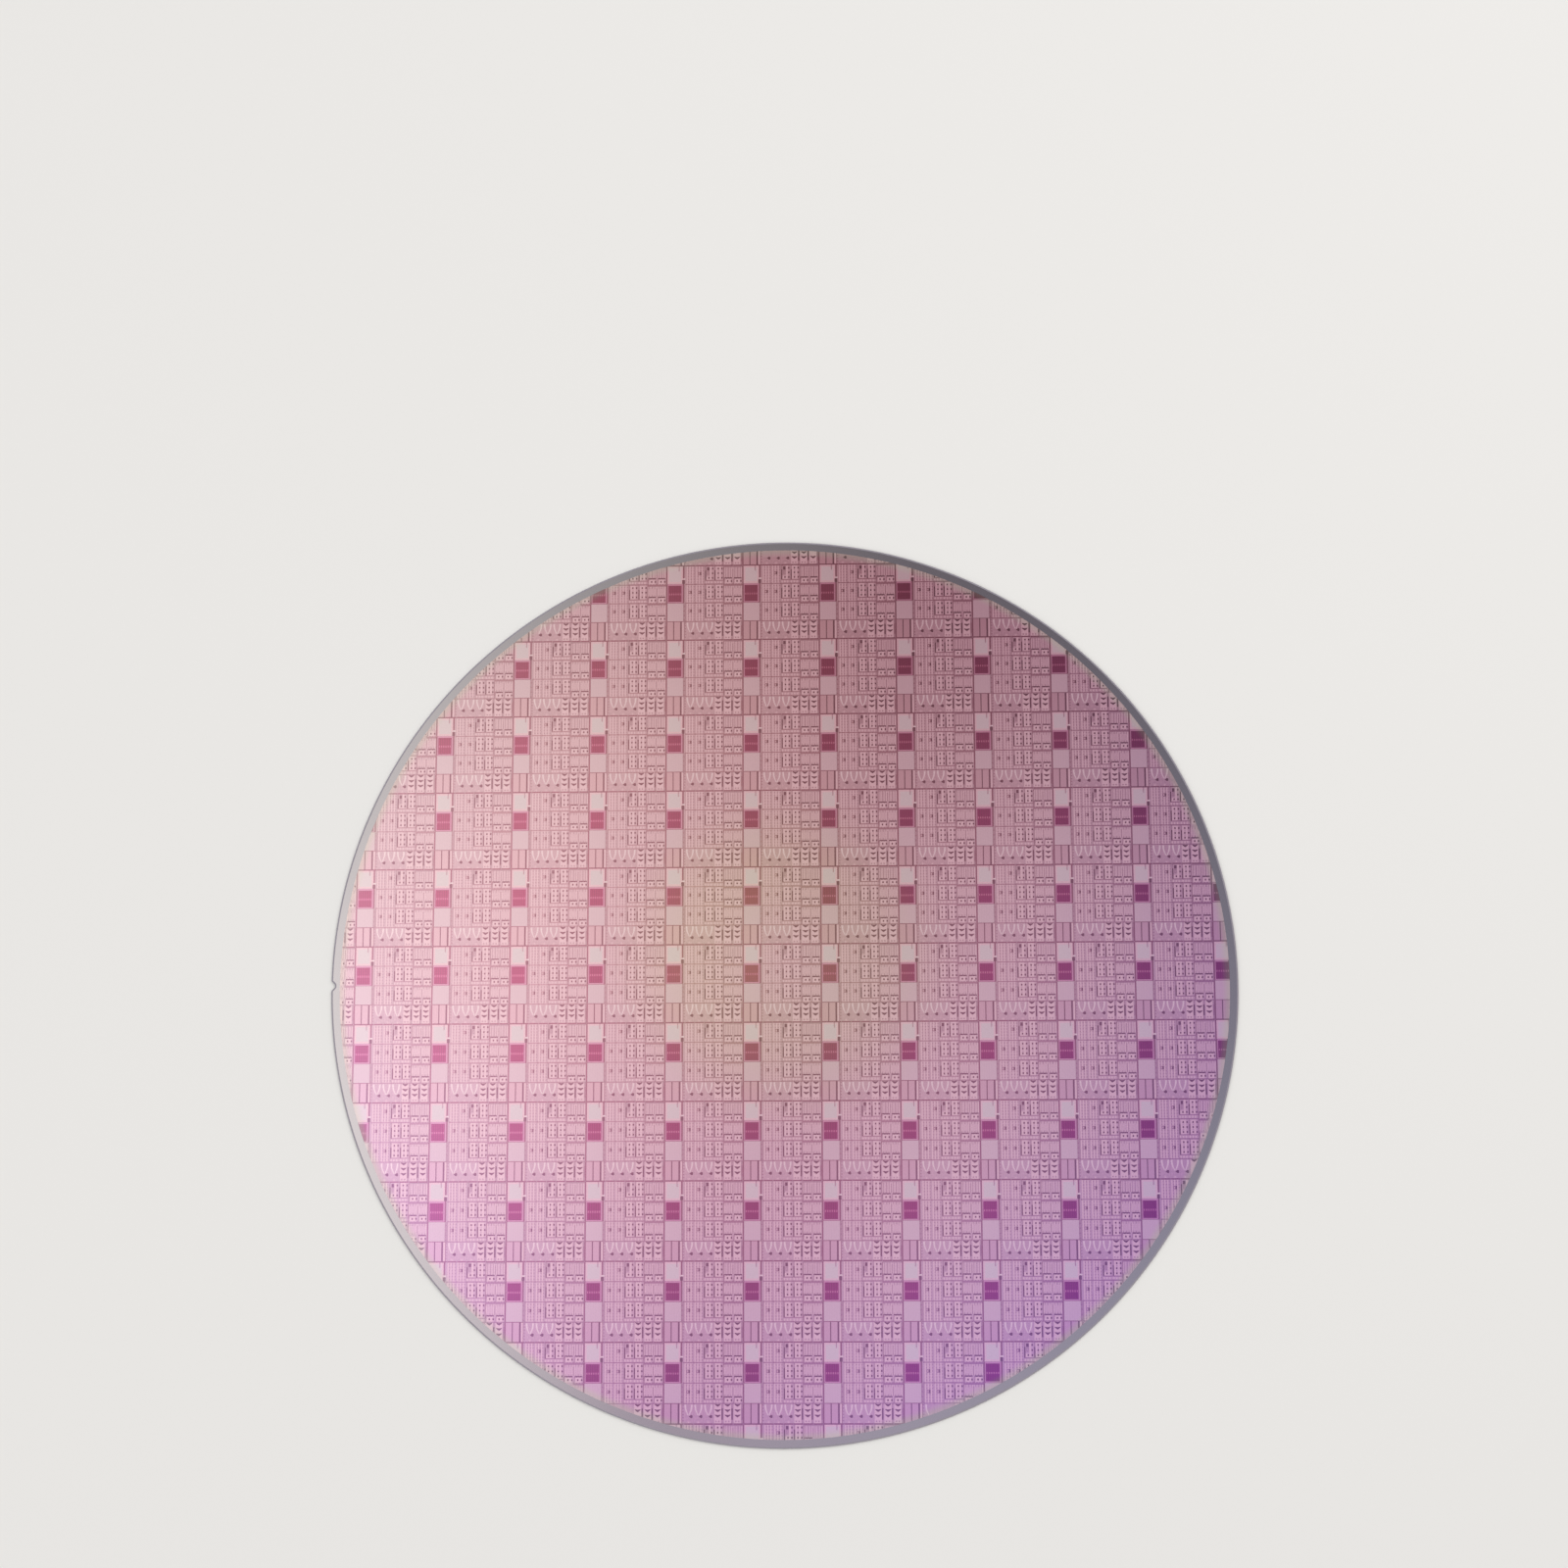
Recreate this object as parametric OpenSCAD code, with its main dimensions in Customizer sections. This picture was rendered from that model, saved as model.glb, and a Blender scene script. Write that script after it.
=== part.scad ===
// Patterned silicon wafer: a round slice of silicon with a bevelled edge and an alignment
// notch, a film over its front face, and the same exposure field repeated across that film.
// The back face lies on z = 0, centred on the origin. The notch points along -X.

/* [Wafer] */
// Diameter of the silicon over its edge
wafer_d = 300; // [200:50:300]
// Thickness of the silicon
wafer_t = 0.775; // [0.7:0.025:1]

/* [Edge] */
// Width of the bevel round each face, measured in from the edge
bevel_w = 0.5; // [0.3:0.05:0.8]
// Drop of the bevel from each face
bevel_h = 0.2; // [0.1:0.01:0.22]
// Radius that blends each bevel into the upright band of the edge
nose_r = 0.1; // [0.05:0.01:0.12]

/* [Notch] */
// Depth of the notch below the round edge
notch_depth = 1.2; // [1:0.05:1.5]
// Angle between the two flanks of the notch
notch_angle = 90; // [80:1:100]
// Radius of the notch's rounded root
notch_root_r = 1; // [0.9:0.05:1.2]

/* [Films] */
// Bare silicon left round the edge of the front face, bevel included
edge_exclusion = 2.8; // [2:0.1:5]
// Height of the film that covers the front face
blanket_t = 0.02; // [0.01:0.005:0.05]
// Height of the circuit blocks above that film
circuit_t = 0.02; // [0.01:0.005:0.05]
// Height of the array blocks above that film
array_t = 0.03; // [0.01:0.005:0.05]

/* [Fields] */
// Distance from one exposure field to the next, across
field_pitch_x = 25.85; // [20:0.05:30]
// Distance from one exposure field to the next, up
field_pitch_y = 25.85; // [20:0.05:30]
// Width of the open lane between two fields
lane_w = 0.45; // [0.2:0.05:0.8]
// Width of the gap between two blocks of one field
block_gap = 0.25; // [0.1:0.05:0.5]
// Strip kept free for wiring at the right of the first column
wiring_strip_w = 0.85; // [0.5:0.05:1.5]
// Border left round each array block, inside its cell
array_border = 0.3; // [0.1:0.05:0.6]
// Smallest piece of a block that is kept where the film's edge cuts the fields
least_piece = 0.5; // [0.2:0.1:2]

/* [Hidden] */
$fn = 180;

wafer_r = wafer_d / 2;
film_r = wafer_r - edge_exclusion;
film_z = wafer_t;
field_z = wafer_t + blanket_t;

// A field is a grid of equal cells, and each block fills some of them.
cells_across = 4;
cells_up = 4;
cell_w = field_pitch_x / cells_across;
cell_h = field_pitch_y / cells_up;

// Each block is [first column, end column, first row, end row] of the field's cells,
// counted from the field's lower left corner.
circuit_cells = [[1, 2, 1, 4], [2, 3, 1, 4], [3, 4, 1, 4], [1, 4, 0, 1]];
pad_cells = [[0, 1, 3, 4], [0, 1, 1, 2], [0, 1, 0, 1]];
array_cells = [[0, 1, 2, 3]];

fields_x = ceil(film_r / field_pitch_x);
fields_y = ceil(film_r / field_pitch_y);

// What is cut from a block's side: half a lane at the field's edge, and half a gap inside it
function inset(index, last) = index == 0 || index == last ? lane_w / 2 : block_gap / 2;

// A block's lowest and highest corner, from its cells, in the field's own frame
function block_low(b) = [
    (b[0] - cells_across / 2) * cell_w + inset(b[0], cells_across),
    (b[2] - cells_up / 2) * cell_h + inset(b[2], cells_up)];
function block_high(b) = [
    (b[1] - cells_across / 2) * cell_w - inset(b[1], cells_across),
    (b[3] - cells_up / 2) * cell_h - inset(b[3], cells_up)];

// The part of a span from low to high that lies nearest to zero, and furthest from it
function nearest(low, high) = low > 0 ? low : high < 0 ? -high : 0;
function furthest(low, high) = max(abs(low), abs(high));

// How far a rectangle's nearest and furthest corners lie from the wafer's centre
function near_r(low, high) = norm([nearest(low[0], high[0]), nearest(low[1], high[1])]);
function far_r(low, high) = norm([furthest(low[0], high[0]), furthest(low[1], high[1])]);

// One corner of the upright band is a quarter of a circle or less: the arc that is tangent
// to the bevel and to the band, as points from the bevel to the band
bevel_angle = atan2(bevel_h, bevel_w);
nose_steps = 4;
nose_top = wafer_t - bevel_h - nose_r * tan((90 - bevel_angle) / 2);
nose_arc = [for (i = [0:nose_steps]) let (a = (90 - bevel_angle) * (1 - i / nose_steps))
    [wafer_r - nose_r + nose_r * cos(a), nose_top + nose_r * sin(a)]];

// Half section of the slice, from the axis out, with the same edge on both faces
module slice_section()
    polygon(concat(
        [[0, wafer_t], [wafer_r - bevel_w, wafer_t]],
        nose_arc,
        [for (i = [nose_steps:-1:0]) [nose_arc[i][0], wafer_t - nose_arc[i][1]]],
        [[wafer_r - bevel_w, 0], [0, 0]]));

// The notch in plan, pointing along +X: two flanks that are tangent to the round root
module notch_plan() {
    root_x = wafer_r - notch_depth + notch_root_r;
    half = notch_angle / 2;
    touch = [root_x - notch_root_r * sin(half), notch_root_r * cos(half)];
    reach = 2 * notch_depth;
    mouth = [touch[0] + reach * cos(half), touch[1] + reach * sin(half)];
    translate([root_x, 0]) circle(r = notch_root_r);
    polygon([touch, mouth, [mouth[0], -mouth[1]], [touch[0], -touch[1]]]);
}

module silicon_wafer()
    color("lightsteelblue")
    difference() {
        rotate_extrude() slice_section();
        rotate([0, 0, 180]) translate([0, 0, -wafer_t])
            linear_extrude(height = 3 * wafer_t) notch_plan();
    }

module blanket_film()
    color("rosybrown")
    translate([0, 0, film_z]) cylinder(r = film_r, h = blanket_t);

// One block of a field whose centre is given, drawn in one of three ways: not at all where
// the film's edge leaves too little of it, cut by that edge, or whole
module block(b, centre, height, strip, border) {
    low = centre + block_low(b) + [border, border];
    high = centre + block_high(b) - [border + strip, border];
    size = high - low;
    if (near_r(low, high) < film_r - least_piece) {
        if (far_r(low, high) > film_r)
            intersection() {
                translate([low[0], low[1], field_z]) cube([size[0], size[1], height]);
                translate([0, 0, field_z]) cylinder(r = film_r, h = height);
            }
        else
            translate([low[0], low[1], field_z]) cube([size[0], size[1], height]);
    }
}

// The same blocks in every field. The strip for wiring is taken from a block's right side.
module blocks(cells, height, strip = 0, border = 0)
    for (i = [-fields_x:fields_x], j = [-fields_y:fields_y], b = cells)
        block(b, [i * field_pitch_x, j * field_pitch_y], height, strip, border);

module circuit_blocks() color("pink") blocks(circuit_cells, circuit_t);

module test_pads() color("lightgray") blocks(pad_cells, circuit_t, wiring_strip_w);

module array_blocks() color("brown") blocks(array_cells, array_t, wiring_strip_w, array_border);

silicon_wafer();
blanket_film();
circuit_blocks();
test_pads();
array_blocks();
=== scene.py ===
"""Patterned silicon wafer: its finished slice, its circuit films and the studio round it.

The wafer lies on its back face at z = 0, centred on the origin, with its notch along -X.
Places inside an exposure field are measured right and down from the field's upper left
corner, where two lanes cross. Its tiles are counted from the left and its rows from the
top, both from 0. Heights above the slice are exaggerated to a few hundredths of a
millimetre, so that every layer is a solid of its own.
"""

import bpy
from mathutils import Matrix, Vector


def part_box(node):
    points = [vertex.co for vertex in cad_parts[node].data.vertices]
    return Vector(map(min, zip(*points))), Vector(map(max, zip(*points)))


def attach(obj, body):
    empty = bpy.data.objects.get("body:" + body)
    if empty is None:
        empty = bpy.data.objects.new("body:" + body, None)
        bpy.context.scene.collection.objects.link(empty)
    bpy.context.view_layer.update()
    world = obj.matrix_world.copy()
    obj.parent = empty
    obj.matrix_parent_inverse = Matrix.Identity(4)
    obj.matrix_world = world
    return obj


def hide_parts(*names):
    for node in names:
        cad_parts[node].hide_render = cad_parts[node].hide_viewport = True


bl_info = {
    "name": "Patterned silicon wafer",
    "version": (1, 0, 0),
    "blender": (4, 5, 0),
    "location": "3D View > Sidebar > Wafer",
    "description": "Builds the slice, the circuit films and the studio of a patterned wafer",
    "category": "Object",
}

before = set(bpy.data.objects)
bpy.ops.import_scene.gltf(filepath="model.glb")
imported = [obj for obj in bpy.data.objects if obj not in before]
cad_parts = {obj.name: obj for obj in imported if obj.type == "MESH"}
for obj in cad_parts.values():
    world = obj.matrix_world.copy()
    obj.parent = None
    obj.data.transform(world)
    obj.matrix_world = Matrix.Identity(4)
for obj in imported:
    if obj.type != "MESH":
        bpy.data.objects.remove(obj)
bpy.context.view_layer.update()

import math

import bpy
import numpy as np
from bpy.props import FloatProperty, FloatVectorProperty, IntProperty, PointerProperty
from bpy.types import Operator, Panel, PropertyGroup
from mathutils import Matrix, Vector

MM = 0.001

# The slice and the blanket film are round: their box's upper corner gives radius and height.
_, WAFER_R, SLICE_TOP = Vector(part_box("silicon_wafer")[1])
_, FILM_R, LANE_TOP = Vector(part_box("blanket_film")[1])
CIRCUIT_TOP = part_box("circuit_blocks")[1][2]
ARRAY_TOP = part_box("array_blocks")[1][2]

# Slice
NOSE_POINTS = 6                 # points on the nose of its edge
FACE_RINGS = (0.99, 0.6, 0.2)   # rings of points on a face, in shares of its outline
SHARP_ANGLE = math.radians(15)  # least angle that stays a crisp edge
EDGE_BLEND = (1.2, 0.9)         # where polish turns into ground edge, in bevel widths from it
GRIND_GRAIN = 0.4 * MM          # grain of the ground edge
GRIND_ROUGHNESS = (0.26, 0.4)   # roughness of the ground edge, least and most
CLOUD_WIDTH = 60 * MM           # width of the faint clouds on a face
CLOUD_SHADE = (0.94, 1.04)      # what the clouds multiply the colour by, least and most
POLISH_ROUGHNESS = 0.08
SILICON_METAL = 0.9

# Circuit shapes
TOP_ROW, MIDDLE_ROWS, LOWER_ROW = (0,), (1, 2), (3,)    # rows of tiles in a field
UPPER_ROWS = TOP_ROW + MIDDLE_ROWS
OVERLAP = 0.005 * MM            # how far a raised solid reaches into the lanes' film
LEAST_SLICE = 0.1               # least height of a slice at the film's edge, in its widths
BAND_POINTS = 15                # points along a comb's toothed band
FOOT_POINTS = 11                # points along a comb's foot
ARM_POINTS = 8                  # points along a curved arm
ARM_APART = 1.05                # least distance of an arm from the centre, in half widths
ARCH_POINTS = 9                 # points round an arch
ARROW_HEIGHTS = (0.05, 0.45, 0.85, 1, 0.6)          # from tip to end, in half heights
CHEVRON_CORNERS = (-1, -0.6, -0.3, 0, 0.3, 0.6, 1)  # from side to side, in half widths
CHEVRON_CURVE = 0.8             # power by which a chevron's lower edge falls

# Films
CORE_PLACE = (0, 8 * MM, 0)     # where they are thickest
CORE_REACH = 0.33               # reach of the core in the array's films, in film radii
RIM_W = 3.0 * MM                # width of their pale rim
RIM_SHARE = 0.5                 # how much of the rim's tone shows at the very edge
RIM_CONTRAST = 0.6              # power that evens out the films' brightness in the rim
LINE_PITCH = 0.8 * MM           # pitch of their fine lines
FILM_METAL = 0.3
GLASS_IOR = 1.46                # silica glass over the whole front
GLASS_ROUGHNESS = 0.04
ARRAY_GLASS = 0.3               # how much of the glass shows over the array's cells
WHITE = (1, 1, 1)

# Blends of two colours in a Mix node: its sockets for the share and the two colours, its
# output, and its settings where one colour covers the other by the share, and where both
# filter the light and multiply. The node has other sockets for numbers and vectors.
SHARE, UNDER, OVER, BLENDED = 0, 6, 7, 2
COVER = {"data_type": "RGBA", "blend_type": "MIX"}
FILTER = {"data_type": "RGBA", "blend_type": "MULTIPLY"}

# Floor
ROLLER_GRAIN = 3 * MM           # texture of the paint roller
ROLLER_DEPTH = 0.1 * MM
ROLLER_BUMP = 0.05              # strength of that texture
PAINT_ROUGHNESS = 0.9
PAINT_SPECULAR = 0.1
FADE_START, FADE_END = 0.5, 1.8   # where the floor turns into the backdrop, in metres

# Soft box in the world, as polished faces see it: an axis, and the two places along it between
# which a share rises from 0 to 1. The first is for its ramp of colour, the second for its
# fall of brightness, and the third for how far overhead it begins and is whole.
BOX_AXES = (((0.94, -0.34, 0), -0.22, 0.11), ((0.34, 0.94, 0), -0.09, 0.235),
            ((0, 0, 1), 0.75, 0.93))

# Lamps and camera
LAMPS = {"main_lamp": ((1.1, 1.1, 1.5), 1.0),       # place, and share of the lamp power
         "fill_lamp": ((-1.5, -0.6, 1.3), 0.5)}
LAMP_SIDE = 1.6
SENSOR_W = 36


# ---------------------------------------------------------------- properties

def linear(code):
    """The linear colour of an sRGB hex code: c / 12.92 near black, else ((c + 0.055) / 1.055)^2.4."""
    parts = [int(code[i:i + 2], 16) / 255 for i in (1, 3, 5)]
    return tuple(c / 12.92 if c <= 0.04045 else ((c + 0.055) / 1.055) ** 2.4 for c in parts)


def length(name, millimetres, description):
    """A length in metres whose default is given in millimetres."""
    return FloatProperty(name=name, description=description, default=millimetres * MM,
                         unit="LENGTH", precision=5)


def lengths(name, millimetres, description):
    """A row of lengths in metres whose defaults are given in millimetres."""
    return FloatVectorProperty(name=name, description=description, unit="LENGTH", precision=5,
                               size=len(millimetres), default=[v * MM for v in millimetres])


def colour(name, code, description):
    """A colour whose default is an sRGB hex code."""
    return FloatVectorProperty(name=name, description=description, subtype="COLOR", size=3,
                               min=0.0, max=1.0, default=linear(code))


class SliceSizes(PropertyGroup):
    """Edge and notch of the silicon slice."""
    bevel_w: length("Bevel width", 0.5, "Width of the bevel round each face")
    bevel_h: length("Bevel drop", 0.2, "Drop of the bevel from each face")
    nose_r: length("Nose radius", 0.1, "Radius between the bevel and the upright band")
    notch_depth: length("Notch depth", 1.2, "Depth of the notch below the round edge")
    notch_root_r: length("Notch root radius", 1.0, "Radius of the notch's rounded root")
    notch_mouth_r: length("Notch mouth radius", 0.6, "Radius where the notch meets the edge")
    notch_angle: FloatProperty(name="Notch angle", description="Angle between the flanks",
                               default=math.radians(90), subtype="ANGLE")
    edge_points: IntProperty(name="Edge points", description="Points round the edge",
                             default=900, min=90)
    notch_points: IntProperty(name="Notch points", default=15, min=3,
                              description="Points on each mouth, and half those on the root")


class FieldSizes(PropertyGroup):
    """Grid of the exposure fields, and the grid of tiles inside one field."""
    pitch: length("Field pitch", 25.85, "Distance from one field to the next")
    lane_w: length("Lane width", 0.45, "Width of the open lane between two fields")
    rows: IntProperty(name="Rows", description="Rows of tiles in a field", default=4)
    tiles: IntProperty(name="Tiles", description="Tiles of circuits in a row", default=6)
    tile_w: length("Tile width", 3.19, "Width of a tile of circuits")
    tile_left: length("First tile", 6.5, "Distance of the first tile from the field's left")
    slice_w: length("Slice width", 0.3, "Steps in which a shape follows the film's edge")
    bright_h: length("Bright height", 0.01, "Height of bright plates over the blocks")
    soft_h: length("Soft height", 0.02, "Height of soft lines over the blocks")
    band_h: length("Band height", 0.03, "Height of seams and buses over the blocks")
    dark_h: length("Dark height", 0.04, "Height of dark lines and dots over the blocks")


class PadSizes(PropertyGroup):
    """Left column of a field: probe pads, the wiring beside them and the bar pads below."""
    border_w: length("Border width", 0.6, "Width of the bright border of the upper pad")
    pad_right: length("Pad right", 5.46, "Right side of the upper pad")
    pad_low: length("Pad bottom", 6.22, "Lower side of the upper pad")
    tick_left: length("Tick left", 4.05, "Left side of the tick on the upper pad")
    tick_w: length("Tick width", 0.33, "Width of the tick")
    tick_h: length("Tick height", 1.7, "Height of the tick")
    link_left: length("Link left", 5.47, "Left side of the bright link across the wiring")
    link_top: length("Link top", 4.38, "Upper side of the link")
    link_w: length("Link width", 0.9, "Width of the link")
    link_h: length("Link height", 0.48, "Height of the link")
    fuse_left: length("Fuse left", 5.25, "Left side of the dark fuse block under the link")
    fuse_top: length("Fuse top", 5.0, "Upper side of the fuse block")
    fuse_w: length("Fuse width", 0.9, "Width of the fuse block")
    fuse_h: length("Fuse height", 1.22, "Height of the fuse block")
    rail_left: length("Rail left", 6.0, "Left side of the rail between pads and circuits")
    rail_w: length("Rail width", 0.66, "Width of the rail")
    lower_left: length("Lower rail left", 5.74, "Left side of the rail beside the lower pad")
    lip_left: length("Lip left", 5.44, "Left side of the lip on the lower pad's right")
    lip_w: length("Lip width", 0.22, "Width of the lip")
    stub_x: length("Stub middle", 6.0, "Middle of the dark stubs beside the lower pad")
    stub_y: lengths("Stubs", (14.15, 15.7, 17.3, 18.9), "Middles of the stubs")
    stub_side: length("Stub side", 0.42, "Side of a stub")
    slot_left: lengths("Slots", (2.26, 4.63), "Left sides of the slots between the bar pads")
    slot_w: lengths("Slot widths", (0.3, 0.5), "Widths of the slots")
    bar_left: length("Bus left", 5.3, "Left side of the bright bus beside the bar pads")
    bar_w: length("Bus width", 0.56, "Width of the bright bus")
    chain_left: length("Chain left", 6.04, "Left side of the contact chain beside the bus")
    chain_w: length("Chain width", 0.62, "Width of the contact chain")
    chain_top: length("First contact", 19.95, "Middle of the chain's first contact")
    chain_step: length("Chain step", 0.97, "Distance between two contacts of the chain")
    contact_w: length("Contact width", 0.36, "Side of a contact in the chain")
    contacts: IntProperty(name="Contacts", description="Contacts in the chain", default=6)
    node_w: length("Node width", 0.46, "Width of a dark node where wiring meets a lane")
    node_h: length("Node height", 0.4, "Height of a dark node")
    node_shift: length("Node shift", 0.07, "Distance of a node's middle from the tile's side")


class ArraySizes(PropertyGroup):
    """Memory array: its guard ring, its darker rim, its cell columns and its centre band."""
    ring_left: length("Ring left", 0.27, "Left side of the guard ring")
    ring_right: length("Ring right", 5.5, "Right side of the guard ring")
    ring_top: length("Ring top", -0.1, "Upper side of the guard ring, below the row's top")
    ring_bottom: length("Ring bottom", 6.46, "Lower side of the guard ring")
    cell_left: length("Cells left", 0.58, "Left side of the cells")
    cell_right: length("Cells right", 5.03, "Right side of the cells")
    cell_top: length("Cells top", 0.46, "Upper side of the cells, below the row's top")
    cell_bottom: length("Cells bottom", 6.06, "Lower side of the cells")
    rim_w: length("Rim width", 0.22, "Width of the dark rim round the cells")
    column_w: length("Column width", 0.4, "Width of a light column line")
    columns: IntProperty(name="Columns", description="Light column lines, one over each mark",
                         default=6)
    band_top: length("Band top", 2.98, "Upper side of the centre band, below the row's top")
    band_h: length("Band height", 0.92, "Height of the centre band")
    mark_w: length("Mark width", 0.36, "Width of a mark in the centre band")
    mark_h: length("Mark height", 0.62, "Height of a mark in the centre band")


class ViaSizes(PropertyGroup):
    """Two tiles with columns of vias between bright conductors, and a framed probe."""
    stripe_x: lengths("Conductors", (0.46, 1.37, 2.33), "Centres of a tile's conductors")
    stripe_w: length("Conductor width", 0.42, "Width of a conductor")
    via_x: lengths("Vias", (0.9, 1.86, 2.76), "Centres of a tile's columns of vias")
    via_w: length("Via width", 0.36, "Width of a via")
    via_h: length("Via height", 0.42, "Height of a via")
    via_top: length("First via", 0.8, "Centre of the first via, below the row's top")
    via_step: length("Via step", 0.976, "Distance from one via to the next")
    vias: IntProperty(name="Vias", description="Vias in a column", default=6)
    wide_x: length("Wide column", 3.14, "Centre of the wide column at a tile's right")
    wide_w: length("Wide column width", 0.36, "Width of the wide column")
    frame_left: length("Probe left", 0.86, "Left side of the framed probe in a tile")
    frame_top: length("Probe top", 2.24, "Upper side of the probe, below the row's top")
    frame_h: length("Probe height", 1.07, "Height of the probe")
    ring_side: length("Ring width", 0.8, "Width of the ring at the probe's left")
    ring_w: length("Ring bar", 0.24, "Width of the ring's bars")
    bar_w: length("Bar width", 0.38, "Width of the dark bar at the probe's right")
    seam_h: length("Seam height", 0.26, "Height of the seam between two rows")


class SocketSizes(PropertyGroup):
    """Two tiles with bright panels of large contacts, and an L-shaped bus round each."""
    panel_left: length("Panel left", 0.55, "Left side of a panel in its tile")
    panel_w: length("Panel width", 1.9, "Width of a panel")
    panel_top: length("Panel top", 0.27, "Upper side of a panel, below the row's top")
    panel_h: length("Panel height", 4.7, "Height of a panel")
    gap_left: length("Gap left", 1.22, "Left side of the gaps in a panel")
    gap_w: length("Gap width", 0.52, "Width of a gap")
    gap_y: lengths("Gaps", (1.62, 3.24), "Upper sides of the gaps")
    gap_h: length("Gap height", 0.56, "Height of a gap")
    pin_x: lengths("Contacts", (1.45, 2.7), "Centres of a tile's columns of contacts")
    pin_y: lengths("Contacts, down", (1.08, 2.7, 4.29), "Centres of the contacts in a row")
    pin_w: length("Contact width", 0.46, "Width of a contact")
    pin_h: length("Contact height", 0.58, "Height of a contact")
    bus_w: length("Bus width", 0.36, "Width of the upright bus")
    bus_left: length("Bus left", 0.16, "Left side of the upright bus in its tile")
    bus_top: length("Bus top", 1.72, "Upper side of the upright bus")
    bus_low: length("Bus bottom", 5.3, "Lower side of the bus")
    bus_h: length("Bus height", 0.24, "Height of the lying bus")
    side_top: length("Side top", 0.2, "Upper side of the soft strip above the upright bus")
    cell_x: lengths("Cells", (0.43, 1.38, 2.33), "Centres of the small cells in a tile")
    cell_y: length("Cells, down", 5.83, "Centres of the small cells in a row")
    cell_w: length("Cell width", 0.48, "Width of a small cell")
    cell_h: length("Cell height", 0.74, "Height of a small cell")
    seam_h: length("Seam height", 0.34, "Height of the seam between two rows")
    key_left: length("Key left", 0.8, "Left side of the dark key block in the first panel")
    key_top: length("Key top", 0.6, "Upper side of the key block")
    key_w: length("Key width", 0.8, "Width of the key block")
    key_h: length("Key height", 1.12, "Height of the key block")
    loop_top: length("Loop top", 1.86, "Upper side of the loop under the key block")
    loop_h: length("Loop height", 1.4, "Height of the loop under the key block")
    loop_w: length("Loop bar", 0.31, "Width of the loop's bars")


class CombSizes(PropertyGroup):
    """Two tiles with combs of fine conductors, a toothed edge and a strip of contacts."""
    side_left: lengths("Side bars", (0.24, 2.62), "Left sides of a comb's bright side bars")
    side_w: length("Side bar width", 0.36, "Width of a side bar")
    finger_left: length("Fingers left", 0.84, "Left side of a comb's first fine conductor")
    finger_step: length("Finger step", 0.34, "Distance between two fine conductors")
    finger_w: length("Finger width", 0.16, "Width of a fine conductor")
    fingers: IntProperty(name="Fingers", description="Fine conductors in a comb", default=5)
    comb_top: length("Comb top", 0.72, "Upper side of a comb, below the row's top")
    comb_h: length("Comb height", 3.4, "Height of a comb")
    tooth_x: lengths("Teeth", (0.64, 1.64, 2.52), "Centres of a comb's dark teeth")
    tooth_w: length("Tooth width", 0.24, "Width of a tooth")
    tooth_top: length("Tooth top", 0.6, "Upper end of the teeth")
    tooth_h: length("Tooth height", 0.8, "Height of the teeth")
    tooth_low: length("Lower teeth", 3.6, "Upper end of the teeth over the foot")
    wave_step: length("Wave step", 0.94, "Distance between two waves of a comb's edge")
    wave_x: length("First wave", 1.12, "Centre of a comb's first wave")
    wave_top: length("Wave top", -0.04, "Upper side of the band over a comb")
    wave_low: length("Wave bottom", 0.6, "Lower side of the band")
    wave_depth: length("Wave depth", 0.15, "How far the band's upper edge swings")
    foot_left: length("Foot left", 0.4, "Left side of the wavy foot under a comb")
    foot_w: length("Foot width", 2.5, "Width of the foot")
    foot_top: length("Foot top", 4.2, "Upper side of the foot")
    foot_h: length("Foot height", 0.38, "Height of the foot")
    strip_left: length("Strip left", 0.56, "Left side of the contact strip in its tile")
    strip_w: length("Strip width", 2.0, "Width of the contact strip")
    strip_top: length("Strip top", 4.68, "Upper side of the contact strip")
    strip_h: length("Strip height", 1.56, "Height of the contact strip")
    pin_x: lengths("Contacts", (1.44, 2.7), "Centres of the contacts on a strip")
    pin_y: length("Contacts, down", 5.47, "Centres of the contacts in a row")
    pin_w: length("Contact width", 0.46, "Width of a contact")
    pin_h: length("Contact height", 0.58, "Height of a contact")
    slant_w: length("Slanted bus width", 0.36, "Width of the slanted bus left of a strip")
    slant_x: lengths("Slanted bus", (0.3, 0.02), "Left sides of the slanted bus, down the row")
    wall_w: length("Wall width", 0.3, "Width of the wall between two combs")
    wall_top: length("Wall top", 1.2, "Upper end of the wall")
    wall_h: length("Wall height", 2.9, "Height of the wall")


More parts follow.
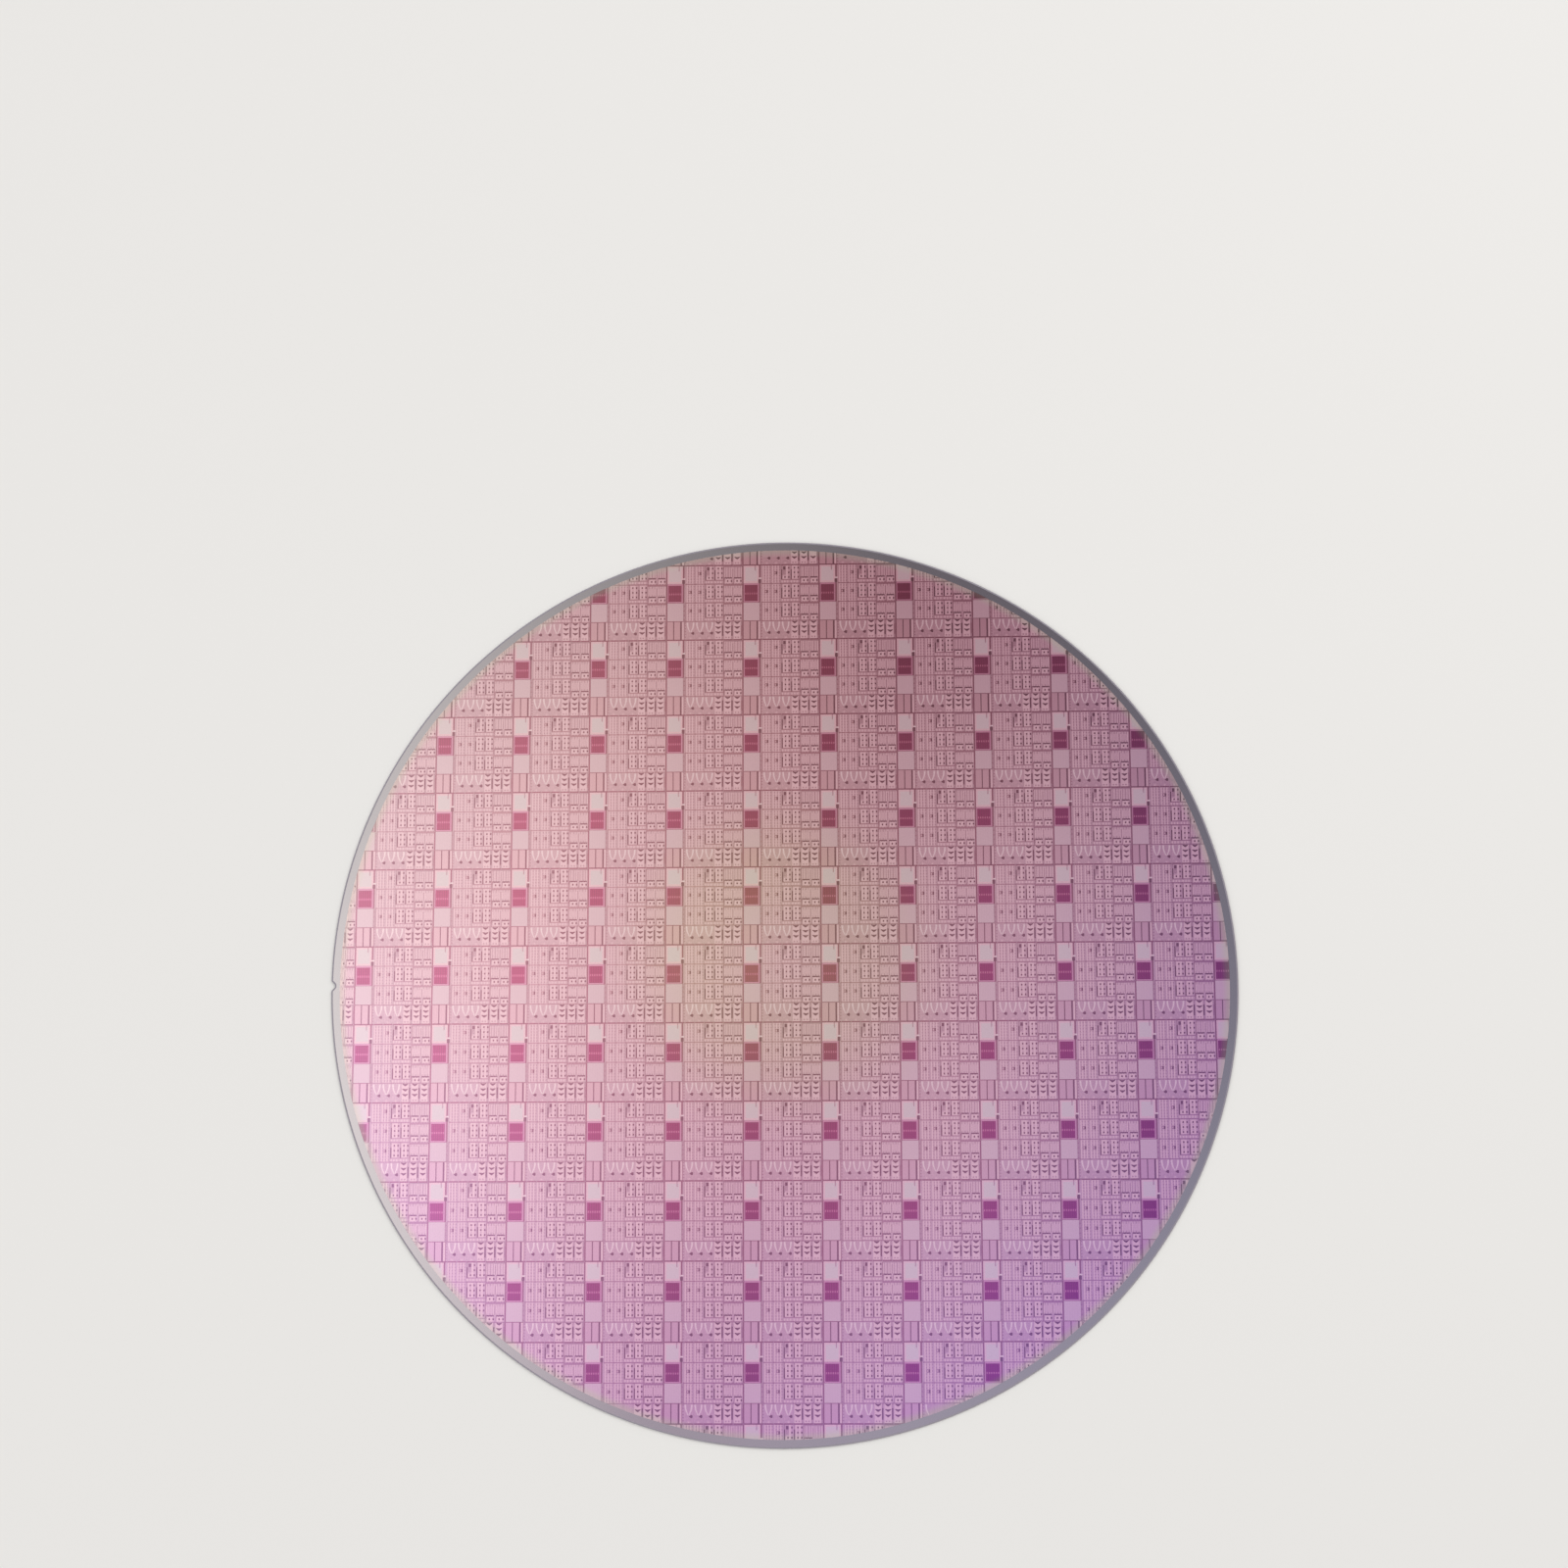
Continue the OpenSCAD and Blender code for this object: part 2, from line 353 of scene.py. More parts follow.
class VeeSizes(PropertyGroup):
    """Bottom tiles with a tapered cell between two bright curved arms."""
    centre: length("Centre", 1.6, "Centre of the cell in its tile")
    wedge_half: length("Wedge half width", 0.7, "Half the width of the wedge at its top")
    wedge_top: length("Wedge top", 0.4, "Upper side of the wedge, below the row's top")
    wedge_tip: length("Wedge tip", 3.42, "Lower end of the wedge")
    wedge_end: FloatProperty(name="Wedge end", default=0.1,
                             description="Share of its width that the wedge keeps at its tip")
    arm_out: length("Arm spread", 1.03, "Distance of an arm's middle from the centre, on top")
    arm_top: length("Arm top", 0.36, "Upper end of an arm")
    arm_tip: length("Arm tip", 3.72, "Lower end of an arm")
    arm_w: length("Arm width", 0.6, "Width of an arm")
    arm_thin: FloatProperty(name="Arm thinning", default=0.5,
                            description="Share of its width that an arm loses to its tip")
    arm_curve: FloatProperty(name="Arm curve", default=2.5,
                             description="Power by which an arm swings in to the centre")
    arrow_tip: length("Arrow tip", 0.14, "Tip of the arrow, right of the centre")
    arrow_end: length("Arrow end", 1.26, "End of the arrow, right of the centre")
    arrow_y: length("Arrow, down", 4.1, "Middle of the arrow, below the row's top")
    arrow_half: length("Arrow half height", 0.53, "Half the height of the arrow")
    shade_left: length("Shade left", 0.45, "Left side of the duller strip under the arrow")
    shade_w: length("Shade width", 2.3, "Width of the duller strip")
    shade_h: length("Shade height", 0.56, "Height of the duller strip")
    arch_half: length("Arch half width", 1.22, "Half the outer width of the arch below")
    arch_w: length("Arch thickness", 0.46, "Thickness of the arch")
    arch_low: length("Arch bottom", 6.12, "Lower side of the arch")
    arch_rise: length("Arch rise", 1.42, "Outer height of the arch")
    foot_w: length("Arch foot", 0.4, "Width of the bright foot in the arch")
    wall_w: length("Wall width", 0.46, "Width of the wall between two cells")


class ChevronSizes(PropertyGroup):
    """Bottom tiles with three chevrons over each other on a bright column."""
    ground_left: length("Column left", 0.3, "Left side of the column in its tile")
    ground_w: length("Column width", 2.28, "Width of the column")
    centre: length("Centre", 1.46, "Centre of the chevrons in a tile")
    half: length("Chevron half width", 0.92, "Half the width of a chevron")
    chevron_y: lengths("Chevrons", (0.12, 1.8, 3.48), "Upper sides of the chevrons")
    sag: length("Sag", 0.16, "Drop of a chevron's upper edge to its middle")
    drop: length("Drop", 0.92, "Drop of a chevron's lower edge to its middle")
    wing_h: length("Wing height", 0.2, "Height of a chevron's outer ends")
    rail_left: length("Rail left", 2.7, "Left side of the dark rail in its tile")
    rail_w: length("Rail width", 0.44, "Width of the dark rail")
    rail_top: length("Rail top", 1.54, "Upper side of the dark rail")
    rail_h: length("Rail height", 3.56, "Height of the dark rail")
    dot_x: lengths("Dots", (0.92, 1.85), "Centres of the small dots in a tile")
    dot_y: length("Dots, down", 5.64, "Centres of the small dots")
    dot_w: length("Dot width", 0.46, "Side of a small dot")


class FilmColours(PropertyGroup):
    """How the films' colour drifts over the slice, and each film's own tint. The drift is partly the
    films' own colour and partly painted light: brighter to the left and lower edge, darker to the
    right and upper edge.
    """
    across: FloatProperty(name="Drift direction", description="Turn of the drift from +X",
                          default=math.radians(-15), subtype="ANGLE")
    # The drift colours across and up are partly painted light: lighter at the left and lower edges,
    # darker at the right and upper edges, where the studio light falls off.
    left_edge: colour("Left edge", "#F8DEF0", "Film colour at the start of the drift")
    left_half: colour("Left half", "#F5DFE1", "Film colour between the start and the middle")
    middle: colour("Middle", "#DCC2C6", "Film colour in the middle of the drift")
    right_half: colour("Right half", "#D9BFD4", "Film colour between the middle and the end")
    right_edge: colour("Right edge", "#C09AD5", "Film colour at the end of the drift")
    lower_edge: colour("Lower edge", "#E6BEF0", "What the lower edge lets through")
    lower_half: colour("Lower half", "#F8DFE3", "What the lower half lets through")
    upper_half: colour("Upper half", "#EDD5CB", "What the upper half lets through")
    upper_edge: colour("Upper edge", "#C59BA5", "What the upper edge lets through")
    core: colour("Core", "#F9FDF3", "What the thickest film at the centre lets through")
    ring: colour("Ring", "#FCF0FF", "What the ring round the core lets through")
    rim: colour("Rim", "#EDE6D2", "Colour of the thin film along its edge")
    lane: colour("Lane tint", "#DBD1DE", "Tint of the film in the lanes")
    circuit: colour("Circuit tint", "#F8F8FB", "Tint of the circuit blocks")
    bright: colour("Bright tint", "#FFF5F7", "Tint of bright plates")
    gleam: colour("Gleam tint", "#FFFDFC", "Tint of the brightest plates")
    soft: colour("Soft tint", "#E6E6EA", "Tint of soft lines")
    rail: colour("Rail tint", "#F4F8FA", "Tint of rails and wide columns")
    band: colour("Band tint", "#EAF0F4", "Tint of seams, buses and bands")
    dark: colour("Dark tint", "#C7CFD8", "Tint of dark lines and dots")
    bar: colour("Bar pad tint", "#FDFDFF", "Tint of the bar pads")
    pad: colour("Pad tint", "#F4F3F5", "Tint of the pads")
    plate: colour("Plate tint", "#EFF5F3", "Tint of the plate on the upper pad")
    array_start: colour("Array, start", "#FCE2FF", "Array colour at the start of the drift")
    array_end: colour("Array, end", "#F2B1FF", "Array colour at the end of the drift")
    array_core: colour("Array, core", "#FAF2F7", "Array colour in the middle of the core")
    cells: colour("Cell tint", "#E5EDE4", "Tint of the memory cells")
    guard: colour("Guard ring tint", "#FAE0F7", "Tint of the guard ring")
    column: colour("Column tint", "#F7EFF3", "Tint of the lines over the array")
    mark: colour("Mark tint", "#FCD9F3", "Tint of the marks in the array's centre band")
    silicon: colour("Silicon", "#B5AFB5", "Colour of polished silicon")
    floor: colour("Floor", "#E9E7E4", "Colour of the floor")
    backdrop: colour("Backdrop", "#E9E8E5", "Tone of the backdrop behind the floor")


class StageSizes(PropertyGroup):
    """Camera, floor and soft lights."""
    camera_place: FloatVectorProperty(name="Camera", description="Where the camera stands",
                                      size=3, subtype="TRANSLATION", precision=4,
                                      default=(0.03265, -0.08521, 0.89422))
    camera_look: FloatVectorProperty(name="View", description="Direction of the view",
                                     size=3, subtype="DIRECTION",
                                     default=(-0.03511, 0.16753, -0.98524))
    camera_up: FloatVectorProperty(name="Up", description="The picture's upward direction",
                                   size=3, subtype="DIRECTION",
                                   default=(0.00931, 0.98586, 0.1673))
    lens: FloatProperty(name="Lens", description="Focal length for a 36 mm wide sensor",
                        default=62.207, unit="CAMERA")
    floor_side: FloatProperty(name="Floor side", description="Side of the floor",
                              default=8.0, unit="LENGTH")
    sky: FloatProperty(name="Sky strength", description="Strength of the even light",
                       default=0.7)
    box: FloatProperty(name="Soft box strength", default=2.0,
                       description="Strength of the soft box that polished faces see")
    box_fall: FloatProperty(name="Soft box fall", default=0.27,
                            description="What is left of the soft box at its upper side")
    box_near: colour("Soft box, near", "#FFFEF5", "Colour of the soft box at its bright side")
    box_middle: colour("Soft box, middle", "#A199A1", "Colour of the soft box overhead")
    box_far: colour("Soft box, far", "#9D9EAE", "Colour of the soft box at its dim side")
    box_side: colour("Soft box, side", "#949298", "Colour seen towards the horizon")
    lamp_power: FloatProperty(name="Lamp power", description="Power of the main lamp",
                              default=16.0, unit="POWER")


# ---------------------------------------------------------------- shapes in a field

def spaced(start, step, count):
    """Evenly spaced places: start + step * k."""
    return start + step * np.arange(count)


def grid(lefts, tops, width, height):
    """Equal rectangles [left, top, right, bottom], one at every pair of a left and a top."""
    x, y = (a.ravel() for a in np.meshgrid(lefts, tops))
    return np.column_stack((x, y, x + width, y + height))


def centred(xs, ys, width, height):
    """Equal rectangles centred on every pair of an x and a y."""
    return grid(np.asarray(xs) - width / 2, np.asarray(ys) - height / 2, width, height)


def outline(left, top, right, bottom, width):
    """The four bars, of one width, along the inside of a rectangle."""
    return np.array(((left, top, right, top + width), (left, bottom - width, right, bottom),
                     (left, top + width, left + width, bottom - width),
                     (right - width, top + width, right, bottom - width)))


def clear_of(rects, box):
    """The rectangles that stay clear of a box."""
    x0, y0, x1, y1 = rects.T
    return rects[(x1 < box[0]) | (x0 > box[2]) | (y1 < box[1]) | (y0 > box[3])]


def row_height():
    """Height of a row of tiles: the field's pitch over its rows."""
    field = bpy.context.scene.wafer_fields
    return field.pitch / field.rows


def tiled(shapes, columns, rows):
    """The shapes of one tile moved to each tile: x by the column's left, y by the row's top."""
    field = bpy.context.scene.wafer_fields
    x, y = (a.ravel() for a in np.meshgrid(columns, rows))
    move = np.column_stack((field.tile_left + field.tile_w * x, row_height() * y))
    pairs = shapes.reshape(len(shapes), -1, 2)
    moved = move[:, None, None, :] + pairs[None]
    return moved.reshape(-1, *shapes.shape[1:])


def rails_of(rects):
    """Rectangles as pairs of edges [solid, side, station, xy]: side 0 below side 1."""
    x0, y0, x1, y1 = rects.T
    low = np.stack((np.stack((x0, y0), -1), np.stack((x1, y0), -1)), 1)
    high = np.stack((np.stack((x0, y1), -1), np.stack((x1, y1), -1)), 1)
    return np.stack((low, high), 1)


def rail_pair(x, upper, lower):
    """A pair of edges at shared places x: side 0 along the upper ends, side 1 along the lower."""
    return np.stack((np.column_stack((x, upper)), np.column_stack((x, lower))))


def rail_sides(right, left, y):
    """A pair of edges at shared heights y: side 0 along the right, side 1 along the left."""
    return np.stack((np.column_stack((right, y)), np.column_stack((left, y))))


def field_corners(field):
    """Upper left corners of the fields, on a grid of the pitch round the centre, whose
    nearest corner still lies on the film."""
    count = math.ceil(FILM_R / field.pitch)
    steps = np.arange(-count, count + 1) * field.pitch
    x, y = (a.ravel() for a in np.meshgrid(steps, steps))
    half = field.pitch / 2
    near = np.hypot(np.maximum(abs(x) - half, 0), np.maximum(abs(y) - half, 0))
    return np.column_stack((x - half, y + half))[near < FILM_R]


def place_rects(field, rects):
    """Field rectangles [left, top, right, bottom] in every field, as [x0, y0, x1, y1]: x is
    the corner's x plus the left, and y the corner's y less the top."""
    x, y = field_corners(field).T[:, :, None]
    left, top, right, bottom = rects.T
    return np.stack((x + left, y - bottom, x + right, y - top), -1).reshape(-1, 4)


def place_rails(field, rails):
    """Field rails in every field, less those with a point beyond the film's edge. Down in
    the field is -Y, so the two sides change places to keep side 1 on the left of side 0."""
    moved = field_corners(field)[:, None, None, None, :] + rails[None] * (1, -1)
    moved = moved.reshape(-1, *rails.shape[1:])[:, ::-1]
    return moved[(np.hypot(moved[..., 0], moved[..., 1]) < FILM_R).all((1, 2))]


def clip_to_film(field, rects):
    """Rectangles kept on the film. One that crosses the film's edge becomes upright slices,
    each ended where y^2 = R^2 - x^2 on its side that is further out."""
    x0, y0, x1, y1 = rects.T
    near = np.hypot(np.maximum(0, np.maximum(x0, -x1)), np.maximum(0, np.maximum(y0, -y1)))
    far = np.hypot(np.maximum(abs(x0), abs(x1)), np.maximum(abs(y0), abs(y1)))
    cut = rects[(near < FILM_R) & (far > FILM_R)]
    counts = np.ceil((cut[:, 2] - cut[:, 0]) / field.slice_w).astype(int)
    owner = np.repeat(np.arange(len(cut)), counts)
    step = np.arange(len(owner)) - np.repeat(np.cumsum(counts) - counts, counts)
    width = ((cut[:, 2] - cut[:, 0]) / counts)[owner]
    left = cut[owner, 0] + step * width
    outer = np.maximum(abs(left), abs(left + width))
    reach = np.sqrt(np.maximum(FILM_R ** 2 - outer ** 2, 0))
    low = np.maximum(cut[owner, 1], -reach)
    high = np.minimum(cut[owner, 3], reach)
    slices = np.column_stack((left, low, left + width, high))
    kept = high > low + LEAST_SLICE * field.slice_w
    return np.vstack((rects[far <= FILM_R], slices[kept]))


# ---------------------------------------------------------------- meshes

def strip_solids(rails, low, high):
    """Flat closed solids between two edges, as corner points and four-sided faces. With n
    stations the corners are side 0 and side 1 at the low height, then both at the high one."""
    count, _, n, _ = rails.shape
    plan = rails.reshape(count, 2 * n, 2)
    points = np.empty((count, 4 * n, 3))
    points[:, :, :2] = np.concatenate((plan, plan), 1)
    points[:, :2 * n, 2] = low
    points[:, 2 * n:, 2] = high
    a = np.arange(n - 1)
    sides = [(a + 2 * n, a + 2 * n + 1, a + 3 * n + 1, a + 3 * n), (a, a + n, a + n + 1, a + 1),
             (a, a + 1, a + 2 * n + 1, a + 2 * n), (a + n + 1, a + n, a + 3 * n, a + 3 * n + 1)]
    faces = np.concatenate([np.stack(side, -1) for side in sides]
                           + [np.array(((0, 2 * n, 3 * n, n),
                                        (n - 1, 2 * n - 1, 4 * n - 1, 3 * n - 1)))])
    faces = faces[None] + 4 * n * np.arange(count)[:, None, None]
    return points.reshape(-1, 3), faces.reshape(-1, 4)


def make_piece(name, points, face_sets, material, plan_map=True):
    """One object from an array of points and arrays of faces over them, which rides on the
    wafer. Its UV map, where it has one, is its plan: x and y over the wafer's diameter."""
    if not len(points):
        raise RuntimeError(f"{name} has no shape: its sizes leave nothing on the film")
    loops = np.concatenate([faces.ravel() for faces in face_sets])
    sizes = np.concatenate([np.full(len(faces), faces.shape[1]) for faces in face_sets])
    mesh = bpy.data.meshes.new(name)
    mesh.vertices.add(len(points))
    mesh.vertices.foreach_set("co", points.ravel())
    mesh.loops.add(len(loops))
    mesh.loops.foreach_set("vertex_index", loops)
    mesh.polygons.add(len(sizes))
    mesh.polygons.foreach_set("loop_start", np.cumsum(sizes) - sizes)
    mesh.update(calc_edges=True)
    mesh.shade_flat()
    if plan_map:
        plan = mesh.uv_layers.new(name="OFBake")
        plan.data.foreach_set("uv", (points[loops, :2] / (2 * WAFER_R) + 0.5).ravel())
    mesh.materials.append(material)
    piece = bpy.data.objects.new(name, mesh)
    bpy.context.scene.collection.objects.link(piece)
    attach(piece, "root")
    return piece


def add_relief(name, material, top, rects, rails=()):
    """One object of one film: a field's rectangles, and its rails in groups of as many
    stations, repeated in every field and raised from the lanes to the given height."""
    field = bpy.context.scene.wafer_fields
    placed = [clip_to_film(field, place_rects(field, shapes)) for shapes in rects]
    groups = [rails_of(shapes) for shapes in placed]
    groups += [place_rails(field, group) for group in rails]
    solids = [strip_solids(group, LANE_TOP - OVERLAP, top) for group in groups]
    starts = np.cumsum([0] + [len(points) for points, _ in solids])
    faces = [faces + start for (_, faces), start in zip(solids, starts)]
    return make_piece(name, np.vstack([points for points, _ in solids]), faces, material)


def notched_edge(sizes):
    """The slice's outline, anticlockwise from above, as points and outward directions. It is
    four arcs of points centre + r * (cos a, sin a), joined by straight flanks: the round
    edge, one mouth of the notch, its root with r below zero, and the other mouth. A mouth's
    centre lies R - r from the axis and r inside its flank. All is drawn with the notch
    along +X, and turned half round at the end."""
    root_r, mouth_r = sizes.notch_root_r, sizes.notch_mouth_r
    flank = (math.pi - sizes.notch_angle) / 2
    root = np.array((WAFER_R - sizes.notch_depth + root_r, 0))
    inward = np.array((-math.cos(flank), math.sin(flank)))
    along = np.array((math.sin(flank), math.cos(flank)))
    start = root + (root_r + mouth_r) * inward
    run = start @ along
    mouth = start + along * (math.sqrt(run ** 2 - start @ start + (WAFER_R - mouth_r) ** 2) - run)
    meet = math.atan2(mouth[1], mouth[0])
    few = sizes.notch_points

    def arc(centre, radius, turn):
        rays = np.column_stack((np.cos(turn), np.sin(turn)))
        return centre + radius * rays, rays

    arcs = (arc(0, WAFER_R, np.linspace(meet, 2 * math.pi - meet, sizes.edge_points)[1:-1]),
            arc(mouth * (1, -1), mouth_r, np.linspace(-meet, flank, few)),
            arc(root, -root_r, np.linspace(flank, -flank, 2 * few)),
            arc(mouth, mouth_r, np.linspace(-flank, meet, few)))
    points, outward = (np.vstack(column) for column in zip(*arcs))
    return -points, -outward


def edge_profile(sizes):
    """The edge's section from the top face to the back face, as insets from the outline and
    heights: bevel, a nose of inset r * (1 - cos a) and height r * sin a, band, and the same
    mirrored."""
    steep = math.pi / 2 - math.atan2(sizes.bevel_h, sizes.bevel_w)
    band = SLICE_TOP - sizes.bevel_h - sizes.nose_r * math.tan(steep / 2)
    turn = np.linspace(steep, 0, NOSE_POINTS)
    inset = np.concatenate(((sizes.bevel_w,), sizes.nose_r * (1 - np.cos(turn))))
    height = np.concatenate(((SLICE_TOP,), band + sizes.nose_r * np.sin(turn)))
    heights = np.concatenate((height, SLICE_TOP - height[::-1]))
    return np.concatenate((inset, inset[::-1])), heights


def slice_shell(sizes):
    """The slice as one closed shell: the edge profile carried along the outline, and each
    face filled by the same outline shrunk towards the axis, to a pole."""
    outline_xy, outward = notched_edge(sizes)
    inset, height = edge_profile(sizes)
    shrink = np.array(FACE_RINGS)
    band = outline_xy[None] - inset[:, None, None] * outward[None]
    top = band[0] * shrink[::-1, None, None]
    back = band[-1] * shrink[:, None, None]
    rings = np.concatenate((top, band, back))
    level = np.ones(len(shrink))
    heights = np.concatenate((height[0] * level, height, height[-1] * level))
    count = len(outline_xy)
    points = np.empty((len(rings), count, 3))
    points[:, :, :2] = rings
    points[:, :, 2] = heights[:, None]
    poles = np.array(((0, 0, height[0]), (0, 0, height[-1])))
    here = np.arange(count)
    after = (here + 1) % count
    down = count * np.arange(len(rings) - 1)[:, None]
    quads = np.stack((down + count + here, down + count + after, down + after, down + here), -1)
    last = count * (len(rings) - 1)
    pole = count * len(rings)
    fans = np.vstack((np.column_stack((here, after, np.full(count, pole))),
                      np.column_stack((last + after, last + here, np.full(count, pole + 1)))))
    return np.vstack((points.reshape(-1, 3), poles)), [quads.reshape(-1, 4), fans]


# ---------------------------------------------------------------- materials

def add_node(tree, kind, inputs, stops=(), **settings):
    """Adds a node: its settings, the stops of its ramp as places and colours, and its inputs,
    each a value or the socket that feeds it."""
    made = tree.nodes.new("ShaderNode" + kind)
    for key, value in settings.items():
        setattr(made, key, value)
    for k, (place, value) in enumerate(stops):
        stops_made = made.color_ramp.elements
        stop = stops_made[k] if k < 2 else stops_made.new(place)
        stop.position = place
        stop.color = (*value, 1)
    for key, value in inputs.items():
        if isinstance(value, bpy.types.NodeSocket):
            tree.links.new(value, made.inputs[key])
        else:
            made.inputs[key].default_value = value
    return made


def new_material(name):
    """An empty node material."""
    material = bpy.data.materials.new(name)
    material.use_nodes = True
    material.node_tree.nodes.clear()
    return material


def film_places(tree, place):
    """Sockets of where a place lies on the films: how far across and how far up it is, both
    from 0 to 1 on the turned axes, and its distance from their thickest place in film radii."""
    span = 1 / (2 * FILM_R)
    turn = -bpy.context.scene.wafer_colours.across
    turned = add_node(tree, "Mapping", {"Vector": place, "Rotation": (0, 0, turn),
                                        "Scale": (span,) * 3, "Location": (0.5,) * 3})
    axes = add_node(tree, "SeparateXYZ", {"Vector": turned.outputs["Vector"]}).outputs
    away = add_node(tree, "VectorMath", {0: place, 1: CORE_PLACE}, operation="DISTANCE")
    share = add_node(tree, "Math", {0: away.outputs["Value"], 1: FILM_R}, operation="DIVIDE")
    return axes["X"], axes["Y"], share.outputs["Value"]


def shared_drift_and_painted_falloff(tree, across, up, from_core):
    """Socket of the colour that all films share: a ramp across times a ramp up times a ramp round the
    core. It is partly the films' own colour, as the layers under them thin out the same way, and
    partly painted light: the ramps across and up are brighter to the left and lower edge and darker
    to the right and upper edge."""
    hues = bpy.context.scene.wafer_colours
    # The ramps across and up hold painted light fall-off as well as the films' own hue.
    ramps = ((across, ((0, hues.left_edge), (0.25, hues.left_half), (0.5, hues.middle),
                       (0.75, hues.right_half), (1, hues.right_edge))),
             (up, ((0, hues.lower_edge), (0.33, hues.lower_half),
                   (0.67, hues.upper_half), (1, hues.upper_edge))),
             (from_core, ((0, WHITE), (0.2, hues.core), (0.41, hues.ring), (1, WHITE))))
    colours = []
    for socket, stops in ramps:
        ramp = add_node(tree, "ValToRGB", {"Fac": socket}, stops)
        ramp.color_ramp.interpolation = "CARDINAL"
        colours.append(ramp.outputs["Color"])
    by_x, by_y, by_core = colours
    drift = add_node(tree, "Mix", {SHARE: 1.0, UNDER: by_x, OVER: by_y}, **FILTER)
    cored = {SHARE: 1.0, UNDER: drift.outputs[BLENDED], OVER: by_core}
    return add_node(tree, "Mix", cored, **FILTER).outputs[BLENDED]


def array_drift(tree, across, from_core):
    """Socket of the tint of the array's thicker films: it drifts across and to the core."""
    hues = bpy.context.scene.wafer_colours
    tint = add_node(tree, "Mix", {SHARE: across, UNDER: (*hues.array_start, 1),
                                  OVER: (*hues.array_end, 1)}, **COVER).outputs[BLENDED]
    at_core = add_node(tree, "MapRange", {"Value": from_core, "From Max": CORE_REACH,
                                          "To Min": 1.0, "To Max": 0.0}).outputs["Result"]
    cored = {SHARE: at_core, UNDER: tint, OVER: (*hues.array_core, 1)}
    return add_node(tree, "Mix", cored, **COVER).outputs[BLENDED]


def film_colour(tree, place, depth, tint, in_array):
    """Socket of a film's colour at a place: the shared drift, with its painted light fall-off, to the
    power of the film's depth, times its tint, paling to the rim's tone towards the edge."""
    hues = bpy.context.scene.wafer_colours
    across, up, from_core = film_places(tree, place)
    drift = shared_drift_and_painted_falloff(tree, across, up, from_core)
    deep = add_node(tree, "Gamma", {"Color": drift, "Gamma": depth}).outputs["Color"]
    tinted = {SHARE: 1.0, UNDER: deep, OVER: (*tint, 1)}
    film = add_node(tree, "Mix", tinted, **FILTER).outputs[BLENDED]
    if in_array:
        drifted = {SHARE: 1.0, UNDER: film, OVER: array_drift(tree, across, from_core)}
        film = add_node(tree, "Mix", drifted, **FILTER).outputs[BLENDED]
    grey = add_node(tree, "RGBToBW", {"Color": film}).outputs["Val"]
    thin = add_node(tree, "Math", {0: grey, 1: RIM_CONTRAST}, operation="POWER").outputs["Value"]
    pale = add_node(tree, "Mix", {SHARE: 1.0, UNDER: thin, OVER: (*hues.rim, 1)}, **FILTER)
    reach = add_node(tree, "VectorMath", {0: place}, operation="LENGTH").outputs["Value"]
    at_rim = add_node(tree, "MapRange", {"Value": reach, "From Min": FILM_R - RIM_W,
                                         "From Max": FILM_R, "To Max": RIM_SHARE},
                      interpolation_type="SMOOTHSTEP").outputs["Result"]
    rimmed = {SHARE: at_rim, UNDER: film, OVER: pale.outputs[BLENDED]}
    return add_node(tree, "Mix", rimmed, **COVER).outputs[BLENDED]


def fine_lines(tree, place, axis, pitch):
    """Socket of a value from 0 to 1 that follows (1 + sin(2 pi place / pitch)) / 2 on an axis."""
    coordinate = add_node(tree, "SeparateXYZ", {"Vector": place}).outputs[axis]
    turn = add_node(tree, "Math", {0: coordinate, 1: 2 * math.pi / pitch}, operation="MULTIPLY")
    wave = add_node(tree, "Math", {0: turn.outputs["Value"]}, operation="SINE")
    return add_node(tree, "MapRange", {"Value": wave.outputs["Value"], "From Min": -1}
                    ).outputs["Result"]


def glassy_film(name, tint, depth, roughness, line_axis, line_depth, in_array=False):
    """Material of one film under the clear passivation glass that covers the whole front: a
    satin layer with its own fine lines, and a smooth coat over it, weaker where the array's
    cells break it up. The real lines are below a hundredth of a millimetre, and are drawn at
    LINE_PITCH so that they show."""
    if name in bpy.data.materials:
        return bpy.data.materials[name]
    material = new_material(name)
    tree = material.node_tree
    place = add_node(tree, "TexCoord", {}).outputs["Object"]
    base = film_colour(tree, place, depth, tint, in_array)
    lines = fine_lines(tree, place, line_axis, LINE_PITCH)
    shade = add_node(tree, "MapRange", {"Value": lines, "To Min": 1 - line_depth,
                                        "To Max": 1.0}).outputs["Result"]
    lined = add_node(tree, "Mix", {SHARE: 1.0, UNDER: base, OVER: shade}, **FILTER)
    film = add_node(tree, "BsdfPrincipled", {
        "Base Color": lined.outputs[BLENDED], "Roughness": roughness, "Metallic": FILM_METAL,
        "Coat Weight": ARRAY_GLASS if in_array else 1.0, "Coat Roughness": GLASS_ROUGHNESS,
        "Coat IOR": GLASS_IOR})
    add_node(tree, "OutputMaterial", {"Surface": film.outputs["BSDF"]})
    return material


def thermal_oxide(hues):
    """Silicon oxide grown in a furnace and left open in the lanes: even, and the deepest rose."""
    return glassy_film("thermal_oxide", hues.lane, depth=1.62, roughness=0.3,
                       line_axis="X", line_depth=0.03)


def copper_wiring(hues):
    """Dense copper wiring polished flat under clear oxide: rose, with fine upright lines."""
    return glassy_film("copper_wiring", hues.circuit, depth=0.98, roughness=0.3,
                       line_axis="X", line_depth=0.05)


def plated_copper(hues):
    """Wide copper plates: pale and smooth."""
    return glassy_film("plated_copper", hues.bright, depth=0.7, roughness=0.24,
                       line_axis="Y", line_depth=0.02)


